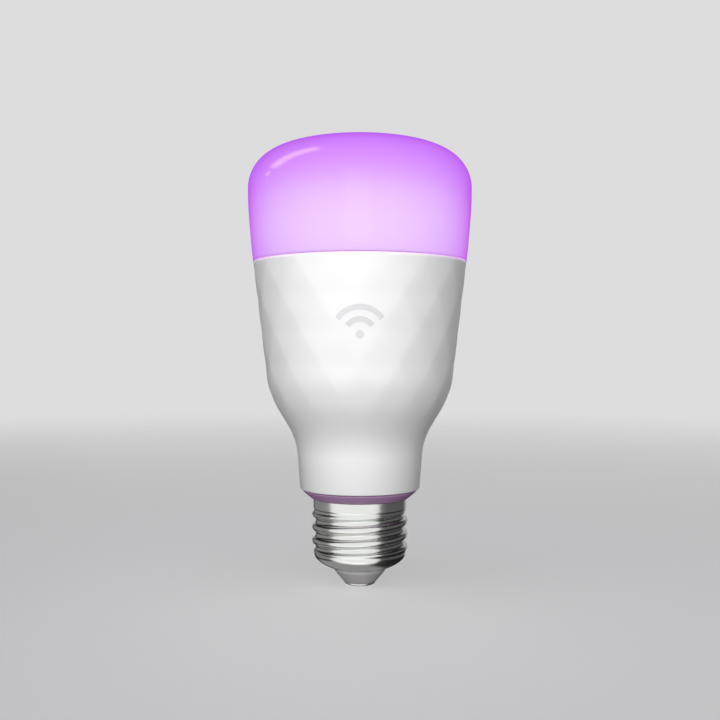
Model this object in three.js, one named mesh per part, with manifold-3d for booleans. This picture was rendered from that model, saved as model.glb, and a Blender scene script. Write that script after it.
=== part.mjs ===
// Colour smart light bulb on an Edison screw base, as an assembly of separate pieces.
// Millimetres, +Z up the lamp's axis. The origin is the middle of the centre contact's face,
// where the lampholder's spring touches. The driver board stands in the XZ plane.
import * as THREE from "three";
import { mergeVertices } from "three/addons/utils/BufferGeometryUtils.js";
import Module from "manifold-3d";

const wasm = await Module();
wasm.setup();

// ---- Driving dimensions ----

const TOTAL_HEIGHT = 120;
const ROUND = 36; // segments of a large turned piece
const BASE_ROUND = 28; // segments of the pieces in the screw base
const SMALL_ROUND = 16; // segments of a small turned piece
const GAP = 0.3; // running gap between nested shells
const TOUCH = 0.05; // gap between faces that rest on each other

const SEAM_Z = 87.8; // where the diffuser meets the housing
const DIFFUSER = { radius: 30.5, widestZ: 107.7, seamRadius: 29.1, wall: 1.5, across: 4.1, up: 2 };
const SKIRT = { outer: 26.8, inner: 25.4, bottomZ: 84.2 };

const HOUSING = {
  rim: [29, SEAM_Z - 0.2],
  shoulder: [25.4, 56.9],
  neckTop: [17.05, 35.7],
  neckBottom: [16.3, 26.2],
  shoulderPull: 9.8, // length of the blend's handle along the cone
  neckPull: 8.6, // length of the blend's handle along the neck
  wall: 1.5,
};

const CUP = { topZ: 83.1, seatZ: 76.3, seatRadius: 24.9, bottomZ: 41, lipRadius: 15.2, wall: 1 };
const PLATE = { radius: 24.6, bottomZ: 78.3, thickness: 1.7, rimWall: 1.2 };
const PAD = { radius: 23.6, thickness: 0.4 };
const LED_BOARD = { radius: 24.2, thickness: 1.2 };
const LED = { tangential: 2.8, radial: 3.5, height: 0.8 };
const WHITE_RING = { radius: 20.2, count: 12, start: Math.PI / 12 };
const COLOUR_RING = { radius: 12.2, count: 6, start: 0 };
const BOARD_SCREW = { radius: 15.8, count: 3, start: Math.PI / 6, shank: 1.1, head: 2.1, length: 5 };

const PIN = { side: 0.64, pitch: 2.54, count: 5 };
const WIFI_SLOT = { x: 7.1, y: 5.6, half: 1 };

const SLEEVE = {
  bottomZ: 30.5, neckRadius: 14.4, neckTopZ: 43.5, wideZ: 52, wideRadius: 19.4, topZ: 75.5, wall: 1,
};
const DRIVER_BOARD = {
  thickness: 1.6, bottomZ: 31.5, neckHalf: 12.6, neckTopZ: 46, wideZ: 53, wideHalf: 17.2, topZ: 73,
};

const THREAD = { pitch: 3.629, crestZ: -0.6, mean: 12.6, depth: 0.5, topZ: 20.6, bottomZ: 9, runOut: 1.3 };
const SHELL = { wall: 0.35, bandRadius: 12.75, topZ: 23.6, holeRadius: 7.5, holeZ: 4.4 };
const COLLAR = { chamferRadius: 13.3, plugRadius: 14.4, spigotRadius: 10.95, bore: 10.05, spigotZ: 9.6 };
const INSULATOR = { bottomZ: 0.85, bottomRadius: 4.5, topRadius: 7.1, flangeRadius: 9, flangeZ: 8.2 };
const CONTACT = { radius: 4.3, faceRadius: 3.5, thickness: 0.8, stem: 1.5, stemZ: 9.3 };
const FUSE = { radius: 1.7, bottomZ: 12.5, topZ: 20.5 };
const WIRE = 0.6;
const BARE_WIRE = 0.22;

// ---- Finishes ----

const finish = (color, roughness, metalness = 0) =>
  new THREE.MeshStandardMaterial({ color, roughness, metalness });

const OPAL = finish(0xe3b8ff, 0.3);
const WHITE_PLASTIC = finish(0xf2f2f3, 0.35);
const COLLAR_PLASTIC = finish(0xa58fa6, 0.45);
const INSULATOR_PLASTIC = finish(0xb4b1b2, 0.5);
const NICKEL = finish(0xd4d6d4, 0.22, 1);
const ALUMINIUM = finish(0xb9bcc0, 0.4, 1);
const SILICONE = finish(0xe8e6e2, 0.6);
const THERMAL_PAD = finish(0x8b95a5, 0.9);
const SOLDER_MASK = finish(0xf0f0ea, 0.45);
const WARM_PHOSPHOR = finish(0xf0c64a, 0.4);
const COOL_PHOSPHOR = finish(0xe9e27a, 0.4);
const RED_LENS = finish(0xd23b34, 0.3);
const GREEN_LENS = finish(0x3fae57, 0.3);
const BLUE_LENS = finish(0x3b62d6, 0.3);
const STEEL = finish(0x9b9da0, 0.35, 1);
const SLEEVE_PLASTIC = finish(0xdcdcd6, 0.6);
const CIRCUIT_BOARD = finish(0x1f6b3c, 0.5);
const DARK_SLEEVE = finish(0x1d2733, 0.4);
const FERRITE = finish(0x3a3a3d, 0.7);
const BOBBIN_PLASTIC = finish(0x26262a, 0.55);
const TAPE = finish(0xe2b93a, 0.5);
const COPPER = finish(0xb8693a, 0.35, 1);
const EPOXY = finish(0x1e1e20, 0.5);
const FILM_YELLOW = finish(0xd9b63c, 0.5);
const VARISTOR_BLUE = finish(0x2b5fae, 0.5);
const GOLD = finish(0xd9b25a, 0.3, 1);
const FUSE_WHITE = finish(0xe9e7df, 0.6);
const WIRE_RED = finish(0xb3272a, 0.5);
const WIRE_WHITE = finish(0xe7e7e4, 0.5);
const HEADER_PLASTIC = finish(0x222226, 0.5);

// ---- Geometry helpers ----

// Turns an outline of [radius, height] points about Z. An outline that touches the axis starts and
// ends on it, and any other closes on itself. Its points may run either way round.
function turned(outline, segments = ROUND) {
  const points = outline.map(([r, z]) => new THREE.Vector2(r, z));
  if (THREE.ShapeUtils.isClockWise(points)) points.reverse();
  if (points[0].x > 0) points.push(points[0].clone());
  return new THREE.LatheGeometry(points, segments).rotateX(Math.PI / 2);
}

// A box between two limits on each axis.
function block([x0, x1], [y0, y1], [z0, z1]) {
  const box = new THREE.BoxGeometry(x1 - x0, y1 - y0, z1 - z0);
  return box.translate((x0 + x1) / 2, (y0 + y1) / 2, (z0 + z1) / 2);
}

// A box of the given size, centred in X and Y, standing on height 0.
const standing = (x, y, z) => block([-x / 2, x / 2], [-y / 2, y / 2], [0, z]);

// An upright cylinder standing on height 0.
const post = (radius, height, segments = SMALL_ROUND) =>
  turned([[0, 0], [radius, 0], [radius, height], [0, height]], segments);

// A flat outline raised by a thickness, with its underside at height 0.
const raised = (shape, thickness) =>
  new THREE.ExtrudeGeometry(shape, { depth: thickness, bevelEnabled: false, curveSegments: 16 });

// The same outline standing in the XZ plane, centred on Y = 0.
const upright = (shape, thickness) =>
  raised(shape, thickness).rotateX(Math.PI / 2).translate(0, thickness / 2, 0);

const circlePath = (Kind, x, y, radius) => new Kind().absarc(x, y, radius, 0, 2 * Math.PI, false);

// A closed outline through corner points.
const polygon = (corners, Kind = THREE.Shape) =>
  new Kind().setFromPoints(corners.map(([x, y]) => new THREE.Vector2(x, y)));

const rectangle = (x0, y0, x1, y1, Kind = THREE.Path) =>
  polygon([[x0, y0], [x1, y0], [x1, y1], [x0, y1]], Kind);

// A round wire along a smooth curve through points.
function wire(points, radius) {
  const curve = new THREE.CatmullRomCurve3(points.map((p) => new THREE.Vector3(...p)));
  const section = polygon(
    Array.from({ length: 8 }, (_, i) => {
      const angle = (i * Math.PI) / 4;
      return [radius * Math.cos(angle), radius * Math.sin(angle)];
    }),
  );
  const steps = Math.ceil(curve.getLength() / (radius * 3));
  return new THREE.ExtrudeGeometry(section, { steps, bevelEnabled: false, extrudePath: curve });
}

// Moves each point of an open outline sideways, to the left of its direction of travel.
function offsetOutline(points, distance) {
  return points.map(([r, z], i) => {
    const [r0, z0] = points[Math.max(i - 1, 0)];
    const [r1, z1] = points[Math.min(i + 1, points.length - 1)];
    const length = Math.hypot(r1 - r0, z1 - z0);
    return [r - (distance * (z1 - z0)) / length, z + (distance * (r1 - r0)) / length];
  });
}

function toSolid(geometry) {
  const bare = geometry.clone();
  bare.deleteAttribute("normal");
  bare.deleteAttribute("uv");
  const merged = mergeVertices(bare);
  return new wasm.Manifold(
    new wasm.Mesh({
      numProp: 3,
      vertProperties: merged.attributes.position.array,
      triVerts: new Uint32Array(merged.index.array),
    }),
  );
}

function toGeometry(solid) {
  const mesh = solid.getMesh();
  return new THREE.BufferGeometry()
    .setAttribute("position", new THREE.BufferAttribute(mesh.vertProperties, 3))
    .setIndex(new THREE.BufferAttribute(mesh.triVerts, 1));
}

const cut = (body, ...tools) =>
  toGeometry(tools.reduce((solid, tool) => solid.subtract(toSolid(tool)), toSolid(body)));

const join = (...pieces) =>
  toGeometry(pieces.slice(1).reduce((solid, piece) => solid.add(toSolid(piece)), toSolid(pieces[0])));

// Angles of pieces spaced evenly round the axis.
const around = ({ count, start }) =>
  Array.from({ length: count }, (_, i) => start + (i * 2 * Math.PI) / count);

// Adds a named piece to a group, at a place and turned about Z.
function add(group, name, geometry, material, position = [0, 0, 0], turn = 0) {
  const mesh = new THREE.Mesh(geometry, material);
  mesh.name = name;
  mesh.position.set(...position);
  mesh.rotation.z = turn;
  group.add(mesh);
  return mesh;
}

// ---- Outlines of the outer form ----

// The diffuser's outside, from the top of the axis to the seam: a superellipse dome and a side that
// leans in towards the housing.
function diffuserOutside() {
  const domeHeight = TOTAL_HEIGHT - DIFFUSER.widestZ;
  const steps = 9;
  const dome = Array.from({ length: steps + 1 }, (_, i) => {
    const angle = (i * Math.PI) / 2 / steps;
    return [
      DIFFUSER.radius * Math.sin(angle) ** (2 / DIFFUSER.across),
      DIFFUSER.widestZ + domeHeight * Math.cos(angle) ** (2 / DIFFUSER.up),
    ];
  });
  const side = new THREE.QuadraticBezierCurve(
    new THREE.Vector2(DIFFUSER.radius, DIFFUSER.widestZ),
    new THREE.Vector2(DIFFUSER.radius, DIFFUSER.widestZ - 6),
    new THREE.Vector2(DIFFUSER.seamRadius, SEAM_Z),
  );
  return [...dome, ...side.getPoints(3).slice(1).map((p) => [p.x, p.y])];
}

// The housing's outside, from the rim to the neck's lower edge: a cone, an S-shaped blend, the neck.
function housingOutside() {
  const point = ([r, z]) => new THREE.Vector2(r, z);
  const rim = point(HOUSING.rim);
  const shoulder = point(HOUSING.shoulder);
  const neckTop = point(HOUSING.neckTop);
  const neckBottom = point(HOUSING.neckBottom);
  const alongCone = shoulder.clone().sub(rim).setLength(HOUSING.shoulderPull);
  const alongNeck = neckTop.clone().sub(neckBottom).setLength(HOUSING.neckPull);
  const blend = new THREE.CubicBezierCurve(
    shoulder,
    shoulder.clone().add(alongCone),
    neckTop.clone().add(alongNeck),
    neckTop,
  );
  return [rim, ...blend.getPoints(8), neckBottom].map((p) => [p.x, p.y]);
}

// The radius of an outline at a height, on a straight line between its points.
function radiusAt(outline, height) {
  const i = outline.findIndex(([, z]) => z <= height);
  const [r0, z0] = outline[i - 1];
  const [r1, z1] = outline[i];
  return r0 + ((r1 - r0) * (height - z0)) / (z1 - z0);
}

const housingInside = offsetOutline(housingOutside(), -HOUSING.wall);

// ---- Outer pieces ----

function diffuser() {
  const outside = diffuserOutside();
  const inside = offsetOutline(outside.slice(1, -1), -DIFFUSER.wall).reverse();
  return turned([
    ...outside,
    [SKIRT.outer, SEAM_Z],
    [SKIRT.outer, SKIRT.bottomZ],
    [SKIRT.inner, SKIRT.bottomZ],
    [SKIRT.inner, SEAM_Z + 1.2],
    ...inside,
    [0, TOTAL_HEIGHT - DIFFUSER.wall],
  ]);
}

const housing = () => turned([...housingOutside(), ...[...housingInside].reverse()]);

// A soft bead between the diffuser's skirt and the cup's rim.
function diffuserSeal() {
  const [bottom, top] = [CUP.topZ + TOUCH, SKIRT.bottomZ - TOUCH];
  return turned([[SKIRT.inner, bottom], [26.4, bottom], [26.6, top], [SKIRT.inner, top]]);
}

// The aluminium liner that carries heat from the LED plate into the housing wall.
function heatSinkCup() {
  const within = ([, z]) => z < CUP.seatZ - 2 && z > CUP.bottomZ + 1;
  const outside = offsetOutline(housingOutside(), -HOUSING.wall - 0.2);
  const middle = outside.filter(within);
  const inside = offsetOutline(outside, -CUP.wall).filter(within).reverse();
  const lowest = radiusAt(outside, CUP.bottomZ);
  return turned([
    [radiusAt(outside, CUP.topZ), CUP.topZ],
    ...middle,
    [lowest, CUP.bottomZ],
    [CUP.lipRadius, CUP.bottomZ],
    [CUP.lipRadius, CUP.bottomZ + CUP.wall],
    ...inside,
    [radiusAt(outside, CUP.seatZ - 1) - CUP.wall, CUP.seatZ - 1],
    [CUP.seatRadius - CUP.wall, CUP.seatZ],
    [CUP.seatRadius, CUP.seatZ],
    [CUP.seatRadius, CUP.topZ],
  ]);
}

// ---- LED engine ----

// A disc with the holes that the plate, the pad and the LED board have in common.
function engineDisc(radius, screwHole) {
  const disc = circlePath(THREE.Shape, 0, 0, radius);
  const { x, y, half } = WIFI_SLOT;
  disc.holes.push(rectangle(-x, y - half, x, y + half));
  for (const angle of around(BOARD_SCREW)) {
    const [sx, sy] = [BOARD_SCREW.radius * Math.cos(angle), BOARD_SCREW.radius * Math.sin(angle)];
    disc.holes.push(circlePath(THREE.Path, sx, sy, screwHole));
  }
  return disc;
}

const pinPlaces = Array.from({ length: PIN.count }, (_, i) => (i - (PIN.count - 1) / 2) * PIN.pitch);
const pinSlot = () => rectangle(-6.6, -1.6, 6.6, 1.6);

function mountingPlate() {
  const face = engineDisc(PLATE.radius, BOARD_SCREW.shank + 0.15);
  face.holes.push(pinSlot());
  const rimInner = PLATE.radius - PLATE.rimWall;
  const rimBottom = CUP.seatZ + TOUCH;
  const rimTop = PLATE.bottomZ + 0.5;
  const rim = turned([
    [rimInner, rimBottom],
    [PLATE.radius - 0.1, rimBottom],
    [PLATE.radius - 0.1, rimTop],
    [rimInner, rimTop],
  ]);
  return join(raised(face, PLATE.thickness).translate(0, 0, PLATE.bottomZ), rim);
}

function thermalPad() {
  const face = engineDisc(PAD.radius, BOARD_SCREW.shank + 0.6);
  face.holes.push(pinSlot());
  return raised(face, PAD.thickness);
}

function ledBoard() {
  const disc = raised(engineDisc(LED_BOARD.radius, BOARD_SCREW.shank + 0.25), LED_BOARD.thickness);
  const holes = pinPlaces.map((x) => block([x - 0.6, x + 0.6], [-0.6, 0.6], [-1, 3]));
  return cut(disc, ...holes);
}

// A pan head with its shank, standing with the underside of the head at height 0.
const panHeadScrew = () =>
  turned(
    [
      [0, -BOARD_SCREW.length],
      [BOARD_SCREW.shank * 0.6, -BOARD_SCREW.length],
      [BOARD_SCREW.shank, -BOARD_SCREW.length + 0.7],
      [BOARD_SCREW.shank, 0],
      [BOARD_SCREW.head, 0],
      [BOARD_SCREW.head, 0.8],
      [BOARD_SCREW.head * 0.7, 1.4],
      [0, 1.5],
    ],
    SMALL_ROUND,
  );

// A strip of pins that carries the LED current from the driver board up to the LED board.
function ledHeader() {
  const half = 6.3;
  const strip = block([-half, half], [-1.2, 1.2], [0, 2.4]);
  const side = PIN.side / 2;
  const pins = pinPlaces.map((x) => block([x - side, x + side], [-side, side], [1, 9.2]));
  return join(strip, ...pins);
}

// ---- Driver ----

// The insulating tube round the driver, with rails that hold the board's edges.
function driverSleeve() {
  const { neckRadius, wideRadius, wall } = SLEEVE;
  const outside = [
    [neckRadius, SLEEVE.bottomZ],
    [neckRadius, SLEEVE.neckTopZ],
    [wideRadius, SLEEVE.wideZ],
    [wideRadius, SLEEVE.topZ],
  ];
  const inside = outside.map(([r, z]) => [r - wall, z]).reverse();
  const inner = wideRadius - wall;
  const edge = DRIVER_BOARD.thickness / 2 + GAP;
  const rails = [-1, 1].flatMap((side) =>
    [-1, 1].map((face) => {
      const x = [side * (inner - 2.4), side * (inner + 0.4)].sort((a, b) => a - b);
      const y = [face * edge, face * (edge + 1)].sort((a, b) => a - b);
      return block(x, y, [SLEEVE.wideZ + 1, SLEEVE.topZ - 0.5]);
    }),
  );
  return join(turned([...outside, ...inside]), ...rails);
}

function driverBoard() {
  const { bottomZ, neckHalf, neckTopZ, wideZ, wideHalf, topZ, thickness } = DRIVER_BOARD;
  const right = [[neckHalf, bottomZ], [neckHalf, neckTopZ], [wideHalf, wideZ], [wideHalf, topZ]];
  const left = right.map(([x, z]) => [-x, z]).reverse();
  return upright(polygon([...right, ...left]), thickness);
}

// One half of a transformer's core: an E lying on its back, opening upwards, in the XZ plane.
function coreHalf() {
  const [half, window, leg, back, height] = [6.5, 4, 1.75, 2.4, 6.25];
  const right = [[half, 0], [half, height], [window, height], [window, back], [leg, back], [leg, height]];
  const left = right.map(([x, z]) => [-x, z]).reverse();
  return upright(polygon([...right, ...left]), 5.9);
}

// The bobbin's tube and its two flanges round the core's middle leg, centred on height 0.
function bobbin() {
  const [legX, legY] = [1.9, 3.1];
  const [tubeX, tubeY] = [2.3, 3.5];
  const [flangeX, flangeY] = [3.8, 5.4];
  const [flange, half] = [0.6, 3.7];
  const tube = standing(2 * tubeX, 2 * tubeY, 2 * half).translate(0, 0, -half);
  const lower = standing(2 * flangeX, 2 * flangeY, flange).translate(0, 0, -half);
  const upper = lower.clone().translate(0, 0, 2 * half - flange);
  const bore = standing(2 * legX, 2 * legY, 2 * half + 2).translate(0, 0, -half - 1);
  return cut(join(tube, lower, upper), bore);
}

// The taped windings, a square ring on the bobbin's tube, centred on height 0.
function winding() {
  const half = 3;
  const outer = standing(7.2, 10.2, 2 * half).translate(0, 0, -half);
  const inner = standing(4.8, 7.2, 2 * half + 2).translate(0, 0, -half - 1);
  return cut(outer, inner);
}

// An aluminium capacitor can, with the crimped groove near its foot.
function capacitor(radius, height) {
  const groove = radius * 0.9;
  return turned(
    [
      [0, 0],
      [radius - 0.4, 0],
      [radius, 0.4],
      [radius, 1.4],
      [groove, 1.9],
      [radius, 2.4],
      [radius, height - 0.4],
      [radius - 0.4, height],
      [0, height],
    ],
    SMALL_ROUND + 4,
  );
}

// A ferrite drum with a waist for the winding.
const chokeCore = () =>
  turned([[0, 0], [3.6, 0], [3.6, 1.2], [1.8, 1.2], [1.8, 6.8], [3.6, 6.8], [3.6, 8], [0, 8]], SMALL_ROUND);

const chokeWinding = () => turned([[2.1, 1.4], [3.3, 1.4], [3.3, 6.6], [2.1, 6.6]], SMALL_ROUND);

// A coated disc standing on edge, facing Y.
function varistorDisc() {
  const [radius, half] = [4.6, 1.6];
  const disc = turned(
    [[0, -half], [radius - 0.8, -half], [radius, 0], [radius - 0.8, half], [0, half]],
    SMALL_ROUND,
  );
  return disc.rotateX(Math.PI / 2);
}

// The printed antenna at the top of the radio board: a square-cornered meander, in the XZ plane.
function antennaTrace() {
  const [width, step, height, turns] = [0.7, 2, 4.4, 5];
  const centre = [[0, 0]];
  for (let i = 0; i < turns; i += 1) {
    const z = i % 2 ? 0 : height;
    centre.push([i * step, z], [(i + 1) * step, z]);
  }
  centre.push([turns * step, turns % 2 ? 0 : height]);
  const bars = centre.slice(1).map(([x1, z1], i) => {
    const [x0, z0] = centre[i];
    const half = width / 2;
    return block(
      [Math.min(x0, x1) - half, Math.max(x0, x1) + half],
      [0, 0.15],
      [Math.min(z0, z1) - half, Math.max(z0, z1) + half],
    );
  });
  return join(...bars).translate((-turns * step) / 2, 0, 0);
}

// ---- Screw base ----

// A turned sheet with a helical thread, whose crest faces +X at crestZ and a pitch above it, and so on.
// Each station is [radius, height, share of the thread's depth].
function threadedSheet(stations, columns) {
  const positions = [];
  const indices = [];
  const rows = stations.length;
  for (let column = 0; column < columns; column += 1) {
    const angle = (column * 2 * Math.PI) / columns;
    for (const [r, z, share] of stations) {
      const wave = Math.cos((2 * Math.PI * (z - THREAD.crestZ)) / THREAD.pitch - angle);
      const radius = r + share * THREAD.depth * wave;
      positions.push(radius * Math.cos(angle), radius * Math.sin(angle), z);
    }
    const next = (column + 1) % columns;
    for (let row = 0; row < rows; row += 1) {
      const a = column * rows + row;
      const b = next * rows + row;
      const c = next * rows + ((row + 1) % rows);
      const d = column * rows + ((row + 1) % rows);
      indices.push(a, d, c, a, c, b);
    }
  }
  return new THREE.BufferGeometry()
    .setAttribute("position", new THREE.Float32BufferAttribute(positions, 3))
    .setIndex(indices);
}

// The pressed-metal screw shell: a plain band, the rounded thread, and a shoulder that turns in.
function screwShell() {
  const rows = 17;
  const thread = Array.from({ length: rows }, (_, i) => {
    const z = THREAD.topZ + ((THREAD.bottomZ - THREAD.topZ) * i) / (rows - 1);
    const fromEnd = Math.min(THREAD.topZ - z, z - THREAD.bottomZ) / THREAD.runOut;
    return [THREAD.mean, z, THREE.MathUtils.smoothstep(fromEnd, 0, 1)];
  });
  const shoulder = new THREE.QuadraticBezierCurve(
    new THREE.Vector2(THREAD.mean, THREAD.bottomZ),
    new THREE.Vector2(THREAD.mean, 6.2),
    new THREE.Vector2(SHELL.holeRadius, SHELL.holeZ),
  );
  const outside = [
    [SHELL.bandRadius, SHELL.topZ, 0],
    [SHELL.bandRadius, THREAD.topZ + 0.5, 0],
    ...thread,
    ...shoulder.getPoints(3).slice(1).map((p) => [p.x, p.y, 0]),
  ];
  const inside = offsetOutline(outside, -SHELL.wall).map(([r, z], i) => [r, z, outside[i][2]]);
  return threadedSheet([...outside, ...inside.reverse()], BASE_ROUND);
}

// The plastic collar that closes the neck, with the spigot that the screw shell is crimped on.
function baseCollar() {
  const { chamferRadius, plugRadius, spigotRadius, bore, spigotZ } = COLLAR;
  const [neckRadius, neckZ] = HOUSING.neckBottom;
  const flangeTop = neckZ - 0.1;
  const flangeBottom = SHELL.topZ + 0.1;
  const plugTop = SLEEVE.bottomZ - GAP;
  return turned([
    [bore, spigotZ],
    [spigotRadius, spigotZ],
    [spigotRadius, flangeBottom],
    [chamferRadius, flangeBottom],
    [neckRadius - 0.15, flangeTop],
    [plugRadius, flangeTop],
    [plugRadius, plugTop],
    [plugRadius - 1.6, plugTop],
    [bore, flangeTop],
  ]);
}

// The insulating cone between shell and contact, held by a flange inside the shell.
function baseInsulator() {
  const { bottomZ, bottomRadius, topRadius, flangeRadius, flangeZ } = INSULATOR;
  const bore = CONTACT.stem + 0.2;
  return turned(
    [
      [bore, bottomZ],
      [bottomRadius, bottomZ],
      [topRadius, SHELL.holeZ - 0.4],
      [topRadius, SHELL.holeZ + 1],
      [flangeRadius, SHELL.holeZ + 2.2],
      [flangeRadius, flangeZ],
      [bore, flangeZ],
    ],
    BASE_ROUND,
  );
}

// The contact disc, with the stem that is riveted through the insulator.
function centreContact() {
  const { radius, faceRadius, thickness, stem, stemZ } = CONTACT;
  const disc = [[0, 0], [faceRadius, 0], [radius, 0.45], [radius, thickness]];
  return turned([...disc, [stem, thickness], [stem, stemZ], [0, stemZ]], BASE_ROUND);
}

// ---- Assembly ----

const bulb = new THREE.Group();

add(bulb, "diffuser", diffuser(), OPAL);
add(bulb, "diffuser_seal", diffuserSeal(), SILICONE);
add(bulb, "housing", housing(), WHITE_PLASTIC);
add(bulb, "heat_sink_cup", heatSinkCup(), ALUMINIUM);

const ledEngine = new THREE.Group();
const padZ = PLATE.bottomZ + PLATE.thickness + TOUCH;
const boardZ = padZ + PAD.thickness + TOUCH;
const boardTop = boardZ + LED_BOARD.thickness + TOUCH;
add(ledEngine, "mounting_plate", mountingPlate(), ALUMINIUM);
add(ledEngine, "thermal_pad", thermalPad(), THERMAL_PAD, [0, 0, padZ]);
add(ledEngine, "led_board", ledBoard(), SOLDER_MASK, [0, 0, boardZ]);

// Places copies of a piece evenly round the LED board, named by turns from a list.
function ringOf(ring, kinds, geometry) {
  around(ring).forEach((angle, i) => {
    const [name, material] = kinds[i % kinds.length];
    const place = [ring.radius * Math.cos(angle), ring.radius * Math.sin(angle), boardTop];
    const number = Math.floor(i / kinds.length) + 1;
    add(ledEngine, `${name}_${number}`, geometry, material, place, angle);
  });
}
const ledPackage = standing(LED.radial, LED.tangential, LED.height);
ringOf(WHITE_RING, [["warm_white_led", WARM_PHOSPHOR], ["cool_white_led", COOL_PHOSPHOR]], ledPackage);
ringOf(
  COLOUR_RING,
  [["red_led", RED_LENS], ["green_led", GREEN_LENS], ["blue_led", BLUE_LENS]],
  ledPackage,
);
ringOf(BOARD_SCREW, [["led_board_screw", STEEL]], panHeadScrew());
bulb.add(ledEngine);

const driver = new THREE.Group();
const face = DRIVER_BOARD.thickness / 2 + TOUCH;
add(driver, "driver_sleeve", driverSleeve(), SLEEVE_PLASTIC);
add(driver, "driver_board", driverBoard(), CIRCUIT_BOARD);
add(driver, "led_header", ledHeader(), HEADER_PLASTIC, [0, 0, DRIVER_BOARD.topZ + TOUCH]);
add(driver, "input_capacitor", capacitor(5, 16), DARK_SLEEVE, [-7.2, -face - 5.4, 53]);
add(driver, "output_capacitor", capacitor(4, 11), DARK_SLEEVE, [-11.2, face + 4.3, 58]);
add(driver, "choke_core", chokeCore(), FERRITE, [-5.2, -face - 4.2, 35.5]);
add(driver, "choke_winding", chokeWinding(), COPPER, [-5.2, -face - 4.2, 35.5]);
add(driver, "film_capacitor", standing(8.4, 4.6, 9), FILM_YELLOW, [5.2, -face - 2.5, 35.5]);
add(driver, "varistor", varistorDisc(), VARISTOR_BLUE, [-5.5, face + 2, 39.5]);
add(driver, "bridge_rectifier", standing(6.2, 2.4, 5), EPOXY, [5, face + 1.25, 36.5]);
add(driver, "driver_chip", standing(4.9, 1.5, 3.9), EPOXY, [11.4, face + 0.8, 66]);
add(driver, "output_diode", standing(4.3, 2.2, 3.6), EPOXY, [11.4, face + 1.15, 58]);

const transformer = new THREE.Group();
transformer.position.set(7, -face - 6, 62);
const coreReach = 6.3;
add(transformer, "transformer_core_lower", coreHalf(), FERRITE, [0, 0, -coreReach]);
add(transformer, "transformer_core_upper", coreHalf().rotateY(Math.PI), FERRITE, [0, 0, coreReach]);
add(transformer, "transformer_bobbin", bobbin(), BOBBIN_PLASTIC);
add(transformer, "transformer_winding", winding(), TAPE);
driver.add(transformer);

const radio = new THREE.Group();
radio.position.set(0, WIFI_SLOT.y, 0);
const radioHalf = 0.4;
const radioFace = radioHalf + TOUCH;
add(radio, "wifi_board", block([-6.5, 6.5], [-radioHalf, radioHalf], [58, 90.5]), CIRCUIT_BOARD);
add(radio, "wifi_shield", block([-5.8, 5.8], [radioFace, radioFace + 2], [61, 74]), STEEL);
add(radio, "wifi_antenna", antennaTrace(), GOLD, [0, radioFace, 85]);
const headerReach = WIFI_SLOT.y - face - radioFace;
const wifiHeader = block([-5.2, 5.2], [-radioFace - headerReach, -radioFace], [58.6, 60.8]);
add(radio, "wifi_header", wifiHeader, HEADER_PLASTIC);
driver.add(radio);
bulb.add(driver);

const base = new THREE.Group();
add(base, "base_collar", baseCollar(), COLLAR_PLASTIC);
add(base, "screw_shell", screwShell(), NICKEL);
add(base, "base_insulator", baseInsulator(), INSULATOR_PLASTIC);
add(base, "centre_contact", centreContact(), NICKEL);
const fuseBody = post(FUSE.radius, FUSE.topZ - FUSE.bottomZ);
add(base, "fuse_resistor", fuseBody, FUSE_WHITE, [0, 0, FUSE.bottomZ]);
const solderY = -face - WIRE - TOUCH;
const fuseLead = [[0, 0, CONTACT.stemZ + TOUCH], [0, 0, 11], [0, 0, FUSE.bottomZ - TOUCH]];
const liveLead = [
  [0, 0, FUSE.topZ + TOUCH], [0, 0, 23], [-0.6, -1.2, 28], [-1, solderY, 32], [-1, solderY, 34],
];
const neutralLead = [
  [8.9, 0, 12], [8.9, 0, 17], [7.6, -0.8, 23], [2, solderY, 30], [0.6, solderY, 32], [0.6, solderY, 34],
];
const tail = 11.35; // radius of the bare tail, pinched between the spigot and the shell
const neutralTail = [
  [8.9, 0, 11.9], [8.9, 0, 9.9], [9.4, 0, 9.1], [10.8, 0, 9.1], [tail, 0, 9.9], [tail, 0, 12], [tail, 0, 15],
];
add(base, "fuse_lead", wire(fuseLead, WIRE), WIRE_RED);
add(base, "live_wire", wire(liveLead, WIRE), WIRE_RED);
add(base, "neutral_wire", wire(neutralLead, WIRE), WIRE_WHITE);
add(base, "neutral_tail", wire(neutralTail, BARE_WIRE), COPPER);
bulb.add(base);

export default bulb;
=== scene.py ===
"""The looks of a colour smart light bulb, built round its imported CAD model.

The frame is the CAD's: metres, +Z up the lamp's axis, the origin on the centre contact's face.
Outlines are written in millimetres, as (radius, height), and MM turns them into metres.
"""

import math

import bmesh
import bpy
from mathutils import Matrix, Vector


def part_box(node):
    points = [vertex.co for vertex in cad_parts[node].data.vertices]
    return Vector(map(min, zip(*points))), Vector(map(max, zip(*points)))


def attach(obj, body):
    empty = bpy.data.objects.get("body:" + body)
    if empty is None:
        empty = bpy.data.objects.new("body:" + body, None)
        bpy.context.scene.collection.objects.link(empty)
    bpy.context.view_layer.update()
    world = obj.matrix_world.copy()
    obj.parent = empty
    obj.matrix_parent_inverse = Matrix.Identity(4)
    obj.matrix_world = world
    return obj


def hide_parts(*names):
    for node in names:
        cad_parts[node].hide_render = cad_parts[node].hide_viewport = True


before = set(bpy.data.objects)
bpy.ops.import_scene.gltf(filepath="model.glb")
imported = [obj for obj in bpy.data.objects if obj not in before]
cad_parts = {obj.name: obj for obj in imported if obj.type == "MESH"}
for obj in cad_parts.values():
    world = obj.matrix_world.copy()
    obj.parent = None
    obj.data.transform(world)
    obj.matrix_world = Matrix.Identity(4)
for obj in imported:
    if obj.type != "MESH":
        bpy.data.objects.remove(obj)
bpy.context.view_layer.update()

ROOT = "root"

# ---- Measures, in millimetres ----

MM = 0.001


def box_mm(node):
    """The lowest and highest corner of a CAD node."""
    low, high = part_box(node)
    return [v / MM for v in low], [v / MM for v in high]


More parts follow.
